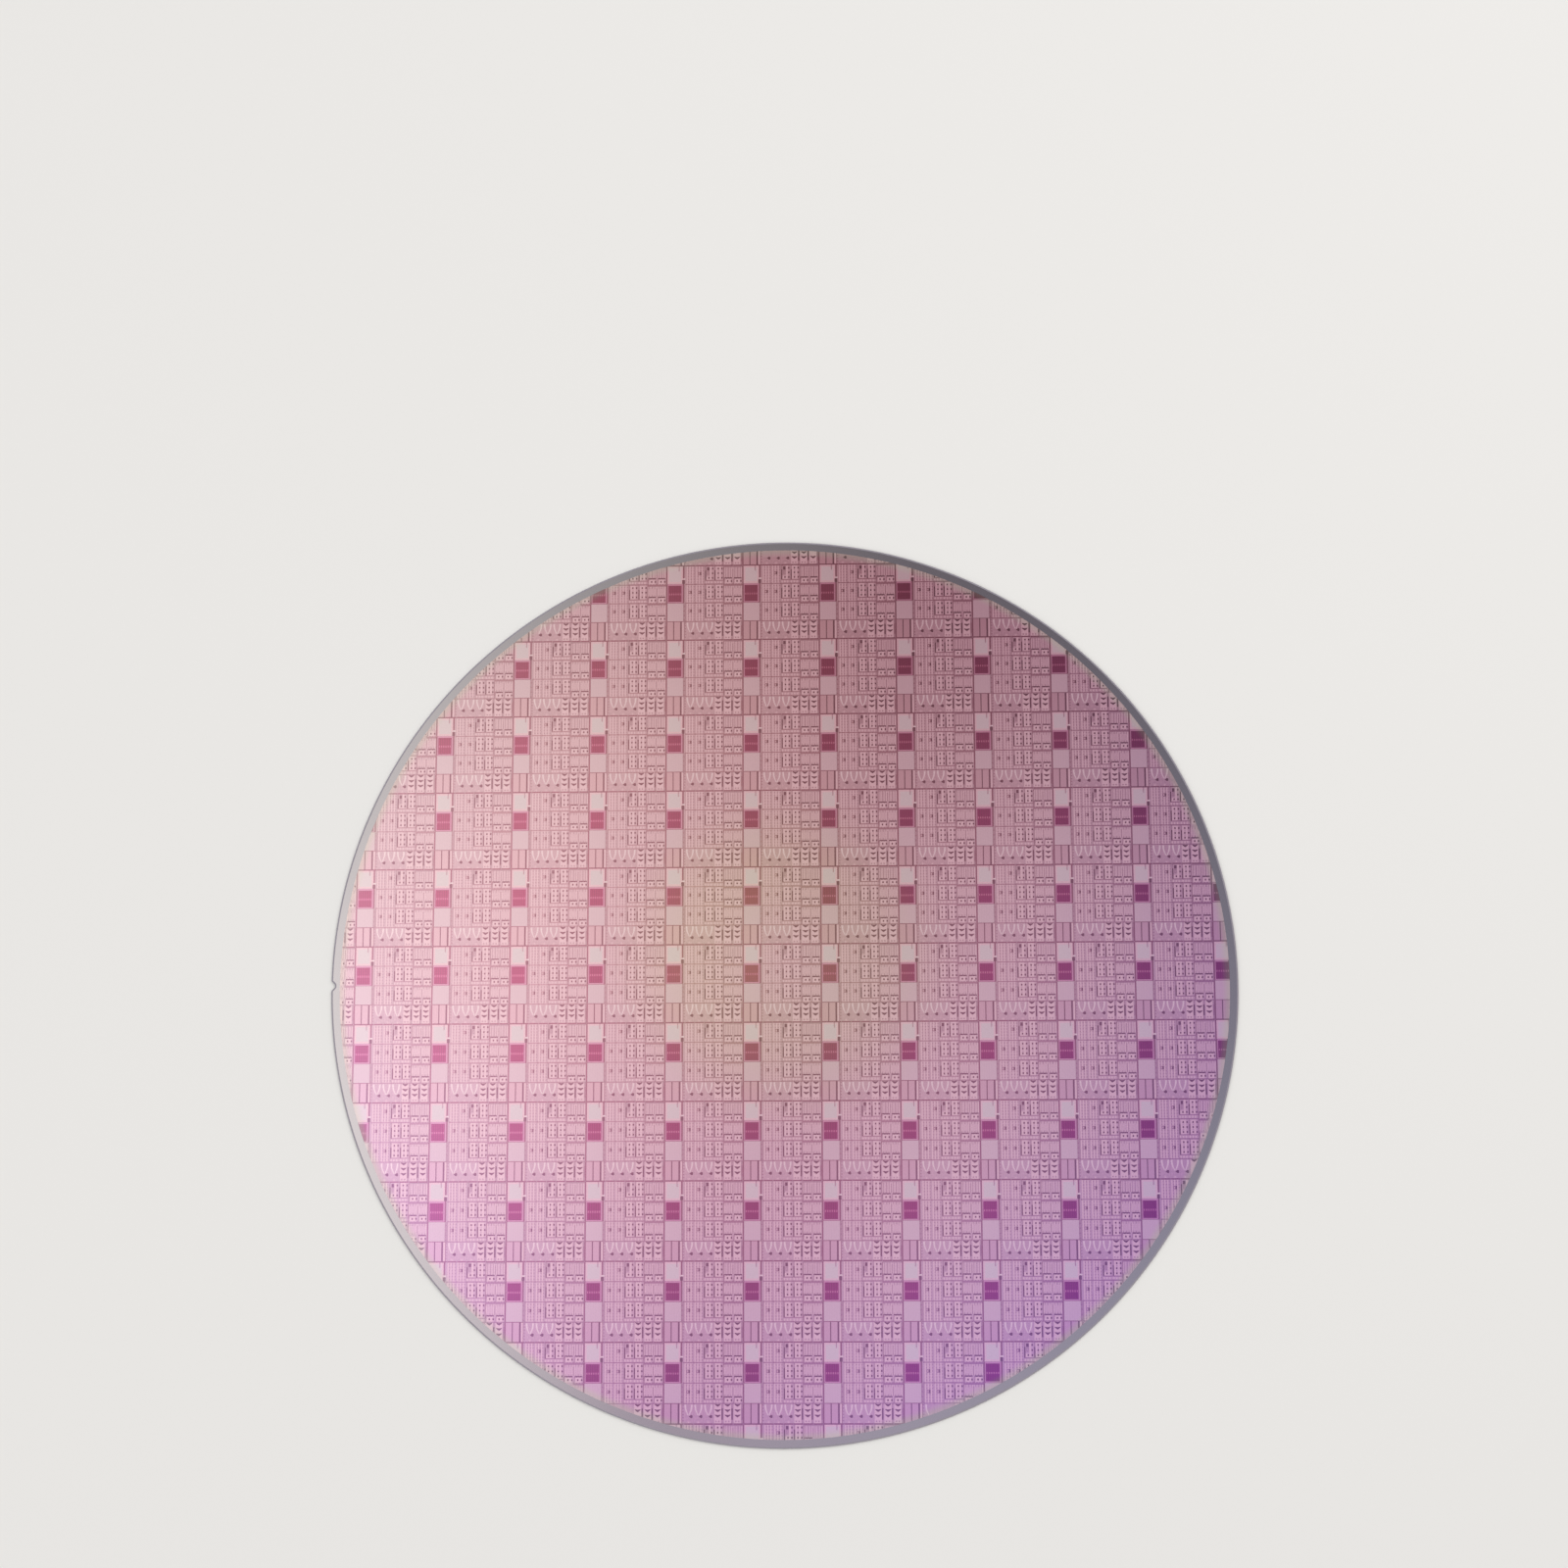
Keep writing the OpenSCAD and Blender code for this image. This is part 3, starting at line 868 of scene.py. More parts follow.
def capping_metal(hues):
    """Bare capping metal: the brightest and smoothest areas, nearly white."""
    return glassy_film("capping_metal", hues.gleam, depth=0.62, roughness=0.2,
                       line_axis="Y", line_depth=0.0)


def barrier_metal(hues):
    """Thin barrier metal: a little deeper and greyer than the wiring."""
    return glassy_film("barrier_metal", hues.soft, depth=1.1, roughness=0.3,
                       line_axis="Y", line_depth=0.03)


def titanium_nitride(hues):
    """Titanium nitride rails and wide columns: a little duller than the wiring."""
    return glassy_film("titanium_nitride", hues.rail, depth=1.04, roughness=0.3,
                       line_axis="Y", line_depth=0.03)


def polysilicon_bus(hues):
    """Polysilicon buses and seams: a dull, deeper rose."""
    return glassy_film("polysilicon_bus", hues.band, depth=1.45, roughness=0.34,
                       line_axis="Y", line_depth=0.03)


def trench_oxide(hues):
    """Trenches and contact holes filled with oxide: dark wine lines and dots."""
    return glassy_film("trench_oxide", hues.dark, depth=1.9, roughness=0.34,
                       line_axis="Y", line_depth=0.0)


def sputtered_aluminium(hues):
    """Sputtered aluminium probe pads: pale, slightly grey, with a faint grain."""
    return glassy_film("sputtered_aluminium", hues.pad, depth=0.75, roughness=0.24,
                       line_axis="X", line_depth=0.02)


def tungsten_plate(hues):
    """Tungsten plates of the bar pads: a little deeper and pinker than the probe pads."""
    return glassy_film("tungsten_plate", hues.bar, depth=1.04, roughness=0.24,
                       line_axis="X", line_depth=0.02)


def nitride_plate(hues):
    """Silicon nitride over the upper pad: paler and greener than the pad round it."""
    return glassy_film("nitride_plate", hues.plate, depth=0.62, roughness=0.22,
                       line_axis="Y", line_depth=0.0)


def memory_cells(hues):
    """Dense memory cells, a grating that absorbs light twice: a deep magenta."""
    return glassy_film("memory_cells", hues.cells, depth=1.93, roughness=0.36,
                       line_axis="X", line_depth=0.04, in_array=True)


def word_lines(hues):
    """Word lines in columns over the cells: a shade lighter than the cells."""
    return glassy_film("word_lines", hues.column, depth=1.93, roughness=0.34,
                       line_axis="Y", line_depth=0.05, in_array=True)


def sense_metal(hues):
    """Contact metal of the sense amplifiers in the array's centre band: pale pink."""
    return glassy_film("sense_metal", hues.mark, depth=1.35, roughness=0.3,
                       line_axis="Y", line_depth=0.0)


def guard_metal(hues):
    """Ring of metal round the memory cells under thinner oxide: candy pink."""
    return glassy_film("guard_metal", hues.guard, depth=1.08, roughness=0.28,
                       line_axis="Y", line_depth=0.0)


def polished_silicon():
    """Single-crystal silicon, cut, edge-ground and polished: a blue-grey mirror on both faces,
    with a satin bevel and band where the grinding wheel left the edge."""
    hues = bpy.context.scene.wafer_colours
    edge_w = bpy.context.scene.wafer_slice.bevel_w
    material = new_material("polished_silicon")
    tree = material.node_tree
    place = add_node(tree, "TexCoord", {}).outputs["Object"]
    reach = add_node(tree, "VectorMath", {0: place}, operation="LENGTH").outputs["Value"]
    start, end = (WAFER_R - widths * edge_w for widths in EDGE_BLEND)
    at_edge = add_node(tree, "MapRange", {"Value": reach, "From Min": start, "From Max": end}
                       ).outputs["Result"]
    grain = add_node(tree, "TexNoise", {"Vector": place, "Scale": 1 / GRIND_GRAIN})
    rough = add_node(tree, "MapRange", {"Value": grain.outputs["Fac"],
                                        "To Min": GRIND_ROUGHNESS[0],
                                        "To Max": GRIND_ROUGHNESS[1]}).outputs["Result"]
    gloss = add_node(tree, "MapRange", {"Value": at_edge, "To Min": POLISH_ROUGHNESS,
                                        "To Max": rough})
    cloud = add_node(tree, "TexNoise", {"Vector": place, "Scale": 1 / CLOUD_WIDTH})
    shade = add_node(tree, "MapRange", {"Value": cloud.outputs["Fac"], "To Min": CLOUD_SHADE[0],
                                        "To Max": CLOUD_SHADE[1]}).outputs["Result"]
    clouded = {SHARE: 1.0, UNDER: (*hues.silicon, 1), OVER: shade}
    base = add_node(tree, "Mix", clouded, **FILTER).outputs[BLENDED]
    silicon = add_node(tree, "BsdfPrincipled", {"Base Color": base, "Metallic": SILICON_METAL,
                                                "Roughness": gloss.outputs["Result"]})
    add_node(tree, "OutputMaterial", {"Surface": silicon.outputs["BSDF"]})
    return material


def floor_paint():
    """Matt emulsion on a flat board: pale, with a faint roller texture. Well away from the wafer
    the camera sees it turn into the backdrop's tone, so that low views have no hard horizon."""
    hues = bpy.context.scene.wafer_colours
    material = new_material("matt_floor_paint")
    tree = material.node_tree
    place = add_node(tree, "TexCoord", {}).outputs["Object"]
    grain = add_node(tree, "TexNoise", {"Vector": place, "Scale": 1 / ROLLER_GRAIN})
    bump = add_node(tree, "Bump", {"Height": grain.outputs["Fac"], "Strength": ROLLER_BUMP,
                                   "Distance": ROLLER_DEPTH})
    paint = add_node(tree, "BsdfPrincipled", {
        "Base Color": (*hues.floor, 1), "Roughness": PAINT_ROUGHNESS,
        "Specular IOR Level": PAINT_SPECULAR, "Normal": bump.outputs["Normal"]})
    reach = add_node(tree, "VectorMath", {0: place}, operation="LENGTH").outputs["Value"]
    seen = add_node(tree, "LightPath", {}).outputs["Is Camera Ray"]
    share = add_node(tree, "MapRange", {"Value": reach, "From Min": FADE_START,
                                        "From Max": FADE_END, "To Max": seen},
                     interpolation_type="SMOOTHSTEP")
    backdrop = add_node(tree, "Emission", {"Color": (*hues.backdrop, 1)})
    both = add_node(tree, "MixShader", {0: share.outputs["Result"], 1: paint.outputs["BSDF"],
                                        2: backdrop.outputs["Emission"]})
    add_node(tree, "OutputMaterial", {"Surface": both.outputs["Shader"]})
    return material


# ---------------------------------------------------------------- operators

def build_area(name, reliefs):
    """The pieces of one area of a field: a dictionary from a film to its rectangles, or to a
    pair of rectangles and groups of rails."""
    field = bpy.context.scene.wafer_fields
    hues = bpy.context.scene.wafer_colours
    over, on_array = CIRCUIT_TOP, ARRAY_TOP
    films = {"bright": (plated_copper, "circuit_film", over + field.bright_h),
             "gleam": (capping_metal, "circuit_film", over + field.bright_h),
             "plate": (nitride_plate, "pad_film", over + field.bright_h),
             "lip": (sputtered_aluminium, "pad_film", over + field.bright_h),
             "link": (capping_metal, "circuit_film", over + field.band_h),
             "soft": (barrier_metal, "circuit_film", over + field.soft_h),
             "rail": (titanium_nitride, "circuit_film", over + field.soft_h),
             "bar": (tungsten_plate, "pad_film", over + field.soft_h),
             "guard": (guard_metal, "array_film", over + field.soft_h),
             "band": (polysilicon_bus, "lane_film", over + field.band_h),
             "dark": (trench_oxide, "lane_film", over + field.dark_h),
             "node": (polysilicon_bus, "lane_film", over + field.dark_h),
             "column": (word_lines, "array_film", on_array + field.bright_h),
             "mark": (sense_metal, "array_film", on_array + field.soft_h)}
    for kind, shapes in reliefs.items():
        rects, rails = shapes if isinstance(shapes, tuple) else (shapes, ())
        material, slot, top = films[kind]
        add_relief(f"{name}_{kind}", material(hues), top, rects, rails)


class WAFER_OT_stage(Operator):
    """Builds the pale floor, the even light, the soft lamps and the camera"""
    bl_idname = "wafer.stage"
    bl_label = "Stage"

    def execute(self, context):
        size = context.scene.wafer_stage
        half = size.floor_side / 2
        mesh = bpy.data.meshes.new("floor")
        mesh.from_pydata([(-half, -half, 0), (half, -half, 0), (half, half, 0), (-half, half, 0)],
                         [], [(0, 1, 2, 3)])
        mesh.materials.append(floor_paint())
        floor = bpy.data.objects.new("floor", mesh)
        context.scene.collection.objects.link(floor)
        self.light_sky(context.scene, size)
        for name, (place, share) in LAMPS.items():
            self.add_lamp(context.scene, name, place, share * size.lamp_power)
        self.add_camera(context.scene, size)
        context.scene.view_settings.view_transform = "Standard"
        return {"FINISHED"}

    def light_sky(self, scene, size):
        """An even pale light, seen as a pale backdrop. What is polished sees a wide soft box
        overhead: a ramp of colour on one axis, times a fall of brightness on the other.
        Towards the horizon it gives way to an even grey, so that the wafer has the same sheen
        from every side."""
        world = bpy.data.worlds.new("studio")
        world.use_nodes = True
        tree = world.node_tree
        tree.nodes.clear()
        rays = add_node(tree, "LightPath", {}).outputs
        ray = add_node(tree, "TexCoord", {}).outputs["Generated"]
        shares = []
        for axis, low, high in BOX_AXES:
            along = add_node(tree, "VectorMath", {0: ray, 1: axis}, operation="DOT_PRODUCT")
            share = add_node(tree, "MapRange", {"Value": along.outputs["Value"],
                                                "From Min": low, "From Max": high})
            shares.append(share.outputs["Result"])
        along_hue, along_fall, overhead = shares
        box = add_node(tree, "ValToRGB", {"Fac": along_hue}, stops=(
            (0, size.box_near), (0.47, size.box_middle), (1, size.box_far))).outputs["Color"]
        fall = add_node(tree, "MapRange", {"Value": along_fall, "To Min": 1.0,
                                           "To Max": size.box_fall}).outputs["Result"]
        fallen = add_node(tree, "Mix", {SHARE: 1.0, UNDER: box, OVER: fall}, **FILTER)
        whole = add_node(tree, "Mix", {SHARE: overhead, UNDER: (*size.box_side, 1),
                                       OVER: fallen.outputs[BLENDED]}, **COVER)
        plain = add_node(tree, "Mix", {SHARE: rays["Is Camera Ray"], UNDER: (*WHITE, 1),
                                       OVER: (*scene.wafer_colours.backdrop, 1)}, **COVER)
        hue = add_node(tree, "Mix", {SHARE: rays["Is Glossy Ray"], UNDER: plain.outputs[BLENDED],
                                     OVER: whole.outputs[BLENDED]}, **COVER)
        seen = add_node(tree, "MapRange", {"Value": rays["Is Camera Ray"], "To Min": size.sky,
                                           "To Max": 1.0}).outputs["Result"]
        strength = add_node(tree, "MapRange", {"Value": rays["Is Glossy Ray"], "To Min": seen,
                                               "To Max": size.box})
        light = add_node(tree, "Background", {"Color": hue.outputs[BLENDED],
                                              "Strength": strength.outputs["Result"]})
        add_node(tree, "OutputWorld", {"Surface": light.outputs["Background"]})
        scene.world = world

    def add_lamp(self, scene, name, place, power):
        """A square soft lamp that faces the wafer. Polished faces don't mirror it: they see the
        soft box of the world alone, so that no view has a hard-edged glare."""
        light = bpy.data.lights.new(name, "AREA")
        light.size = LAMP_SIDE
        light.energy = power
        lamp = bpy.data.objects.new(name, light)
        lamp.location = place
        lamp.rotation_euler = Vector(place).to_track_quat("Z", "Y").to_euler()
        lamp.visible_glossy = False
        scene.collection.objects.link(lamp)

    def add_camera(self, scene, size):
        """The camera at its place, turned so that -Z is the view and +Y is up."""
        back = -Vector(size.camera_look).normalized()
        right = Vector(size.camera_up).cross(back).normalized()
        turn = Matrix((right, back.cross(right), back)).transposed()
        camera = bpy.data.cameras.new("camera")
        camera.lens = size.lens
        camera.sensor_width = SENSOR_W
        holder = bpy.data.objects.new("camera", camera)
        holder.matrix_world = Matrix.Translation(size.camera_place) @ turn.to_4x4()
        scene.collection.objects.link(holder)
        scene.camera = holder


class WAFER_OT_slice(Operator):
    """Builds the silicon slice, its ground edge and its notch"""
    bl_idname = "wafer.slice"
    bl_label = "Silicon slice"

    def execute(self, context):
        points, faces = slice_shell(context.scene.wafer_slice)
        piece = make_piece("polished_slice", points, faces, polished_silicon(),
                           plan_map=False)
        piece.data.shade_smooth()
        piece.data.set_sharp_from_angle(angle=SHARP_ANGLE)
        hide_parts("silicon_wafer")
        return {"FINISHED"}


class WAFER_OT_films(Operator):
    """Gives the films and blocks of the frame their materials"""
    bl_idname = "wafer.films"
    bl_label = "Films and blocks"

    def execute(self, context):
        hues = context.scene.wafer_colours
        finishes = {"blanket_film": thermal_oxide, "circuit_blocks": copper_wiring,
                    "test_pads": sputtered_aluminium, "array_blocks": memory_cells}
        for node, finish in finishes.items():
            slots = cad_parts[node].data.materials
            slots.clear()
            slots.append(finish(hues))
        return {"FINISHED"}


class WAFER_OT_pads(Operator):
    """Builds the border and plate of the pads, the wiring beside them and the bar pads"""
    bl_idname = "wafer.pads"
    bl_label = "Pad details"

    def execute(self, context):
        size = context.scene.wafer_pads
        field = context.scene.wafer_fields
        row_h = row_height()
        gap = field.lane_w / 2
        inner = gap + size.border_w
        low_top = (field.rows - 1) * row_h + gap / 2
        low_h = row_h - 1.5 * gap
        rail_right = size.rail_left + size.rail_w
        chain_y = spaced(size.chain_top, size.chain_step, size.contacts)
        tile_sides = spaced(field.tile_left + size.node_shift, field.tile_w, field.tiles + 1)
        row_tops = spaced(0, row_h, field.rows)
        build_area("pads", {
            "bright": [outline(gap, gap, size.pad_right, size.pad_low, size.border_w),
                       grid(size.bar_left, low_top, size.bar_w, low_h)],
            "plate": [grid(inner, inner, size.pad_right - size.border_w - inner,
                           size.pad_low - size.border_w - inner)],
            "lip": [grid(size.lip_left, 2 * row_h + gap / 2, size.lip_w, row_h - gap)],
            "soft": [grid(size.tick_left, gap, size.tick_w, size.tick_h),
                     grid(size.lower_left, 2 * row_h, rail_right - size.lower_left, row_h)],
            "rail": [grid(size.rail_left, gap, size.rail_w, 2 * row_h - gap),
                     grid(size.chain_left, low_top, size.chain_w, low_h)],
            "bar": [grid(gap, low_top, size.bar_left - gap, low_h)],
            "link": [grid(size.link_left, size.link_top, size.link_w, size.link_h)],
            "dark": [grid(size.fuse_left, size.fuse_top, size.fuse_w, size.fuse_h),
                     *(grid(left, low_top, width, row_h - gap)
                       for left, width in zip(size.slot_left, size.slot_w))],
            "band": [centred(size.stub_x, size.stub_y, size.stub_side, size.stub_side),
                     centred(size.chain_left + size.chain_w / 2, chain_y,
                             size.contact_w, size.contact_w)]})
        build_area("nodes", {
            "node": [centred(tile_sides, row_tops, size.node_w, size.node_h)]})
        return {"FINISHED"}


class WAFER_OT_array(Operator):
    """Builds the guard ring, column lines and centre band of the memory array"""
    bl_idname = "wafer.array"
    bl_label = "Memory array"

    def execute(self, context):
        size = context.scene.wafer_array
        top = row_height()
        x0, x1, x2, x3 = size.ring_left, size.cell_left, size.cell_right, size.ring_right
        y0, y1 = top + size.ring_top, top + size.cell_top
        y2, y3 = top + size.cell_bottom, top + size.ring_bottom
        ring = np.array(((x0, y0, x3, y1), (x0, y2, x3, y3), (x0, y1, x1, y2), (x2, y1, x3, y2)))
        left = x1 + size.rim_w
        wide = x2 - size.rim_w - left
        upper = y1 + size.rim_w
        band_top = top + size.band_top
        band_low = band_top + size.band_h
        step = (x2 - x1) / size.columns
        column_x = spaced(x1 + step / 2, step, size.columns)
        column_left = column_x - size.column_w / 2
        build_area("array", {
            "guard": [ring],
            "column": [grid(column_left, upper, size.column_w, band_top - upper),
                       grid(column_left, band_low, size.column_w, y2 - size.rim_w - band_low),
                       grid(left, band_top, wide, size.band_h)],
            "mark": [centred(column_x, band_top + size.band_h / 2, size.mark_w, size.mark_h)]})
        return {"FINISHED"}


class WAFER_OT_vias(Operator):
    """Builds the conductors, vias and framed probes of the first two tiles"""
    bl_idname = "wafer.vias"
    bl_label = "Via columns"

    def execute(self, context):
        size = context.scene.wafer_vias
        field = context.scene.wafer_fields
        gap = field.lane_w / 2
        tall = row_height() - 1.5 * gap
        first, second, tiles = (0,), (1,), (0, 1)
        stripe_left = np.array(size.stripe_x) - size.stripe_w / 2
        stripes = grid(stripe_left, gap, size.stripe_w, tall)
        via_y = spaced(size.via_top, size.via_step, size.vias)
        vias = centred(size.via_x, via_y, size.via_w, size.via_h)
        ring_right = size.frame_left + size.ring_side
        low = size.frame_top + size.frame_h
        probe = (size.frame_left, size.frame_top, ring_right + size.bar_w, low)
        ring = outline(size.frame_left, size.frame_top, ring_right, low, size.ring_w)
        bar = grid(ring_right, size.frame_top, size.bar_w, size.frame_h)
        open_vias = clear_of(vias, probe)
        wide = grid(size.wide_x - size.wide_w / 2, gap, size.wide_w, tall)
        seam = grid(0, -size.seam_h / 2, len(tiles) * field.tile_w, size.seam_h)
        build_area("vias", {
            "bright": [tiled(stripes, tiles, UPPER_ROWS)],
            "soft": [tiled(vias, first, TOP_ROW), tiled(open_vias, second, TOP_ROW),
                     tiled(open_vias, tiles, MIDDLE_ROWS)],
            "rail": [tiled(wide, tiles, UPPER_ROWS)],
            "band": [tiled(seam, first, MIDDLE_ROWS + LOWER_ROW), tiled(ring, second, TOP_ROW),
                     tiled(ring, tiles, MIDDLE_ROWS)],
            "dark": [tiled(bar, second, TOP_ROW), tiled(bar, tiles, MIDDLE_ROWS)]})
        return {"FINISHED"}


class WAFER_OT_sockets(Operator):
    """Builds the panels, contacts, buses and small cells of the middle two tiles"""
    bl_idname = "wafer.sockets"
    bl_label = "Contact panels"

    def execute(self, context):
        size = context.scene.wafer_sockets
        field = context.scene.wafer_fields
        first, second, tiles = (2,), (3,), (2, 3)
        panel_right = size.panel_left + size.panel_w
        gap_right = size.gap_left + size.gap_w
        panel_low = size.panel_top + size.panel_h
        side_w = size.gap_left - size.panel_left
        left_side = grid(size.panel_left, size.panel_top, side_w, size.panel_h)
        right_side = grid(gap_right, size.panel_top, panel_right - gap_right, size.panel_h)
        tops = np.array((size.panel_top, *(y + size.gap_h for y in size.gap_y)))
        lows = np.array((*size.gap_y, panel_low))
        # A panel is its two sides and the bridges between its gaps. The first one of a field
        # gives its upper left part to the key block and the loop.
        bridges = np.column_stack((np.full_like(tops, size.gap_left), tops,
                                   np.full_like(tops, gap_right), lows))
        low_side = grid(size.panel_left, tops[-1], side_w, lows[-1] - tops[-1])
        panel = np.vstack((left_side, right_side, bridges))
        first_panel = np.vstack((right_side, bridges[-1:], low_side))
        pins = centred(size.pin_x, size.pin_y, size.pin_w, size.pin_h)
        right_pins = centred(size.pin_x[1], size.pin_y, size.pin_w, size.pin_h)
        low_pin = centred(size.pin_x[0], size.pin_y[2], size.pin_w, size.pin_h)
        key = grid(size.key_left, size.key_top, size.key_w, size.key_h)
        first_dark = np.vstack((key, right_pins, low_pin))
        loop = outline(size.key_left, size.loop_top, size.key_left + size.key_w,
                       size.loop_top + size.loop_h, size.loop_w)
        cells = centred(size.cell_x, size.cell_y, size.cell_w, size.cell_h)
        lying_top = size.bus_low - size.bus_h
        upright = grid(size.bus_left, size.bus_top, size.bus_w, lying_top - size.bus_top)
        lying = grid(size.bus_left, lying_top, field.tile_w, size.bus_h)
        side = grid(size.bus_left, size.side_top, size.bus_w, size.bus_top - size.side_top)
        seam = grid(0, -size.seam_h / 2, len(tiles) * field.tile_w, size.seam_h)
        build_area("sockets", {
            "bright": [tiled(panel, second, TOP_ROW), tiled(panel, tiles, MIDDLE_ROWS),
                       tiled(first_panel, first, TOP_ROW), tiled(cells, tiles, UPPER_ROWS)],
            "soft": [tiled(side, tiles, UPPER_ROWS), tiled(loop, first, TOP_ROW)],
            "band": [tiled(lying, tiles, UPPER_ROWS), tiled(seam, first, MIDDLE_ROWS)],
            "dark": [tiled(pins, tiles, MIDDLE_ROWS), tiled(pins, second, TOP_ROW),
                     tiled(upright, tiles, UPPER_ROWS), tiled(first_dark, first, TOP_ROW)]})
        return {"FINISHED"}


class WAFER_OT_combs(Operator):
    """Builds the combs, toothed bands, feet and contact strips of the last two tiles"""
    bl_idname = "wafer.combs"
    bl_label = "Combs"

    def execute(self, context):
        size = context.scene.wafer_combs
        field = context.scene.wafer_fields
        tiles = (4, 5)
        sides = grid(size.side_left, size.comb_top, size.side_w, size.comb_h)
        finger_left = spaced(size.finger_left, size.finger_step, size.fingers)
        fingers = grid(finger_left, size.comb_top, size.finger_w, size.comb_h)
        tooth_left = np.array(size.tooth_x) - size.tooth_w / 2
        upper_teeth = grid(tooth_left, size.tooth_top, size.tooth_w, size.tooth_h)
        lower_teeth = grid(tooth_left, size.tooth_low, size.tooth_w,
                           size.foot_top - size.tooth_low)
        long_teeth = grid(tooth_left, size.tooth_top, size.tooth_w,
                          size.tooth_low - size.tooth_top)
        strip = grid(size.strip_left, size.strip_top, size.strip_w, size.strip_h)
        pins = centred(size.pin_x, size.pin_y, size.pin_w, size.pin_h)
        wall = grid(-size.wall_w / 2, size.wall_top, size.wall_w, size.wall_h)
        # The band's upper edge and the foot's lower edge are waves.
        band_x = np.linspace(0, field.tile_w, BAND_POINTS)
        band = rail_pair(band_x, size.wave_top - size.wave_depth * self.swing(size, band_x),
                         np.full(BAND_POINTS, size.wave_low))
        foot_low = size.foot_top + size.foot_h
        foot_x = np.linspace(size.foot_left, size.foot_left + size.foot_w, FOOT_POINTS)
        foot = rail_pair(foot_x, np.full(FOOT_POINTS, size.foot_top),
                         foot_low + size.wave_depth / 2 * self.swing(size, foot_x))
        slant_x = np.array(size.slant_x)
        slant = rail_sides(slant_x + size.slant_w, slant_x, np.array((foot_low, row_height())))
        lid = grid(0, field.lane_w / 2, field.tile_w, size.wave_low - field.lane_w / 2)
        build_area("combs", {
            "bright": [tiled(shape, tiles, UPPER_ROWS) for shape in (sides, strip, fingers)],
            "soft": ([tiled(upper_teeth, tiles, MIDDLE_ROWS), tiled(wall, tiles, UPPER_ROWS),
                      tiled(lower_teeth, tiles, UPPER_ROWS), tiled(long_teeth, tiles, TOP_ROW),
                      tiled(lid, tiles, TOP_ROW)],
                     (tiled(slant[None], tiles, UPPER_ROWS),)),
            "band": ((), (tiled(band[None], tiles, MIDDLE_ROWS),)),
            "dark": ([tiled(pins, tiles, UPPER_ROWS)],
                     (tiled(foot[None], tiles, UPPER_ROWS),))})
        return {"FINISHED"}

    def swing(self, size, x):
        """The wave of a comb's edges: cos(2 pi (x - first) / step)."""
        return np.cos(2 * np.pi * (x - size.wave_x) / size.wave_step)


class WAFER_OT_vees(Operator):
    """Builds the tapered cells, their curved arms, arrows and arches in the bottom row"""
    bl_idname = "wafer.vees"
    bl_label = "Tapered cells"

    def execute(self, context):
        size = context.scene.wafer_vees
        field = context.scene.wafer_fields
        last, tiles = (2,), (0, 1, 2)
        # The wedge tapers straight from its half width on top to a share of it at its tip.
        wedge_y = np.array((size.wedge_top, size.wedge_tip))
        wedge_half = size.wedge_half * np.array((1, size.wedge_end))
        wedge = rail_sides(size.centre + wedge_half, size.centre - wedge_half, wedge_y)
        # An arm's middle lies spread * (1 - run^curve) from the centre, where run goes from 0
        # on top to 1 at its tip, and its width falls evenly with run.
        run = np.linspace(0, 1, ARM_POINTS)
        spread = size.arm_w * (1 - size.arm_thin * run) / 2
        middle = np.maximum(size.arm_out * (1 - run ** size.arm_curve), ARM_APART * spread)
        arm_y = size.arm_top + (size.arm_tip - size.arm_top) * run
        arms = np.stack([rail_sides(size.centre + side * middle + spread,
                                    size.centre + side * middle - spread, arm_y)
                         for side in (-1, 1)])
        # The arrow lies on its side, and the arch is the strip between two half ellipses
        # (half width * cos a, rise * sin a).
        arrow_half = size.arrow_half * np.array(ARROW_HEIGHTS)
        arrow_x = size.centre + np.linspace(size.arrow_tip, size.arrow_end, len(arrow_half))
        arrow = rail_pair(arrow_x, size.arrow_y - arrow_half, size.arrow_y + arrow_half)
        turn = np.linspace(math.pi, 0, ARCH_POINTS)
        rays = np.column_stack((np.cos(turn), -np.sin(turn)))
        outer = np.array((size.arch_half, size.arch_rise))
        low = np.array((size.centre, size.arch_low))
        arch = np.stack((low + outer * rays, low + (outer - size.arch_w) * rays))
        foot = centred(size.centre, size.arch_low - size.arch_w / 2, size.foot_w, size.arch_w)
        shade = grid(size.shade_left, size.arrow_y - size.shade_h / 2, size.shade_w,
                     size.shade_h)
        gap = field.lane_w / 4
        wall = grid(field.tile_w - size.wall_w / 2, gap, size.wall_w, row_height() - field.lane_w)
        seam = grid(0, -gap, field.tile_w, 2 * gap)
        build_area("vees", {
            "gleam": ((), (tiled(arms, tiles, LOWER_ROW),)),
            "bright": [tiled(foot, tiles, LOWER_ROW)],
            "rail": ([tiled(wall, tiles, LOWER_ROW), tiled(shade, tiles, LOWER_ROW)],
                     (tiled(wedge[None], tiles, LOWER_ROW),
                      tiled(arch[None], tiles, LOWER_ROW))),
            "band": [tiled(seam, last, LOWER_ROW)],
            "dark": ((), (tiled(arrow[None], tiles, LOWER_ROW),))})
        return {"FINISHED"}


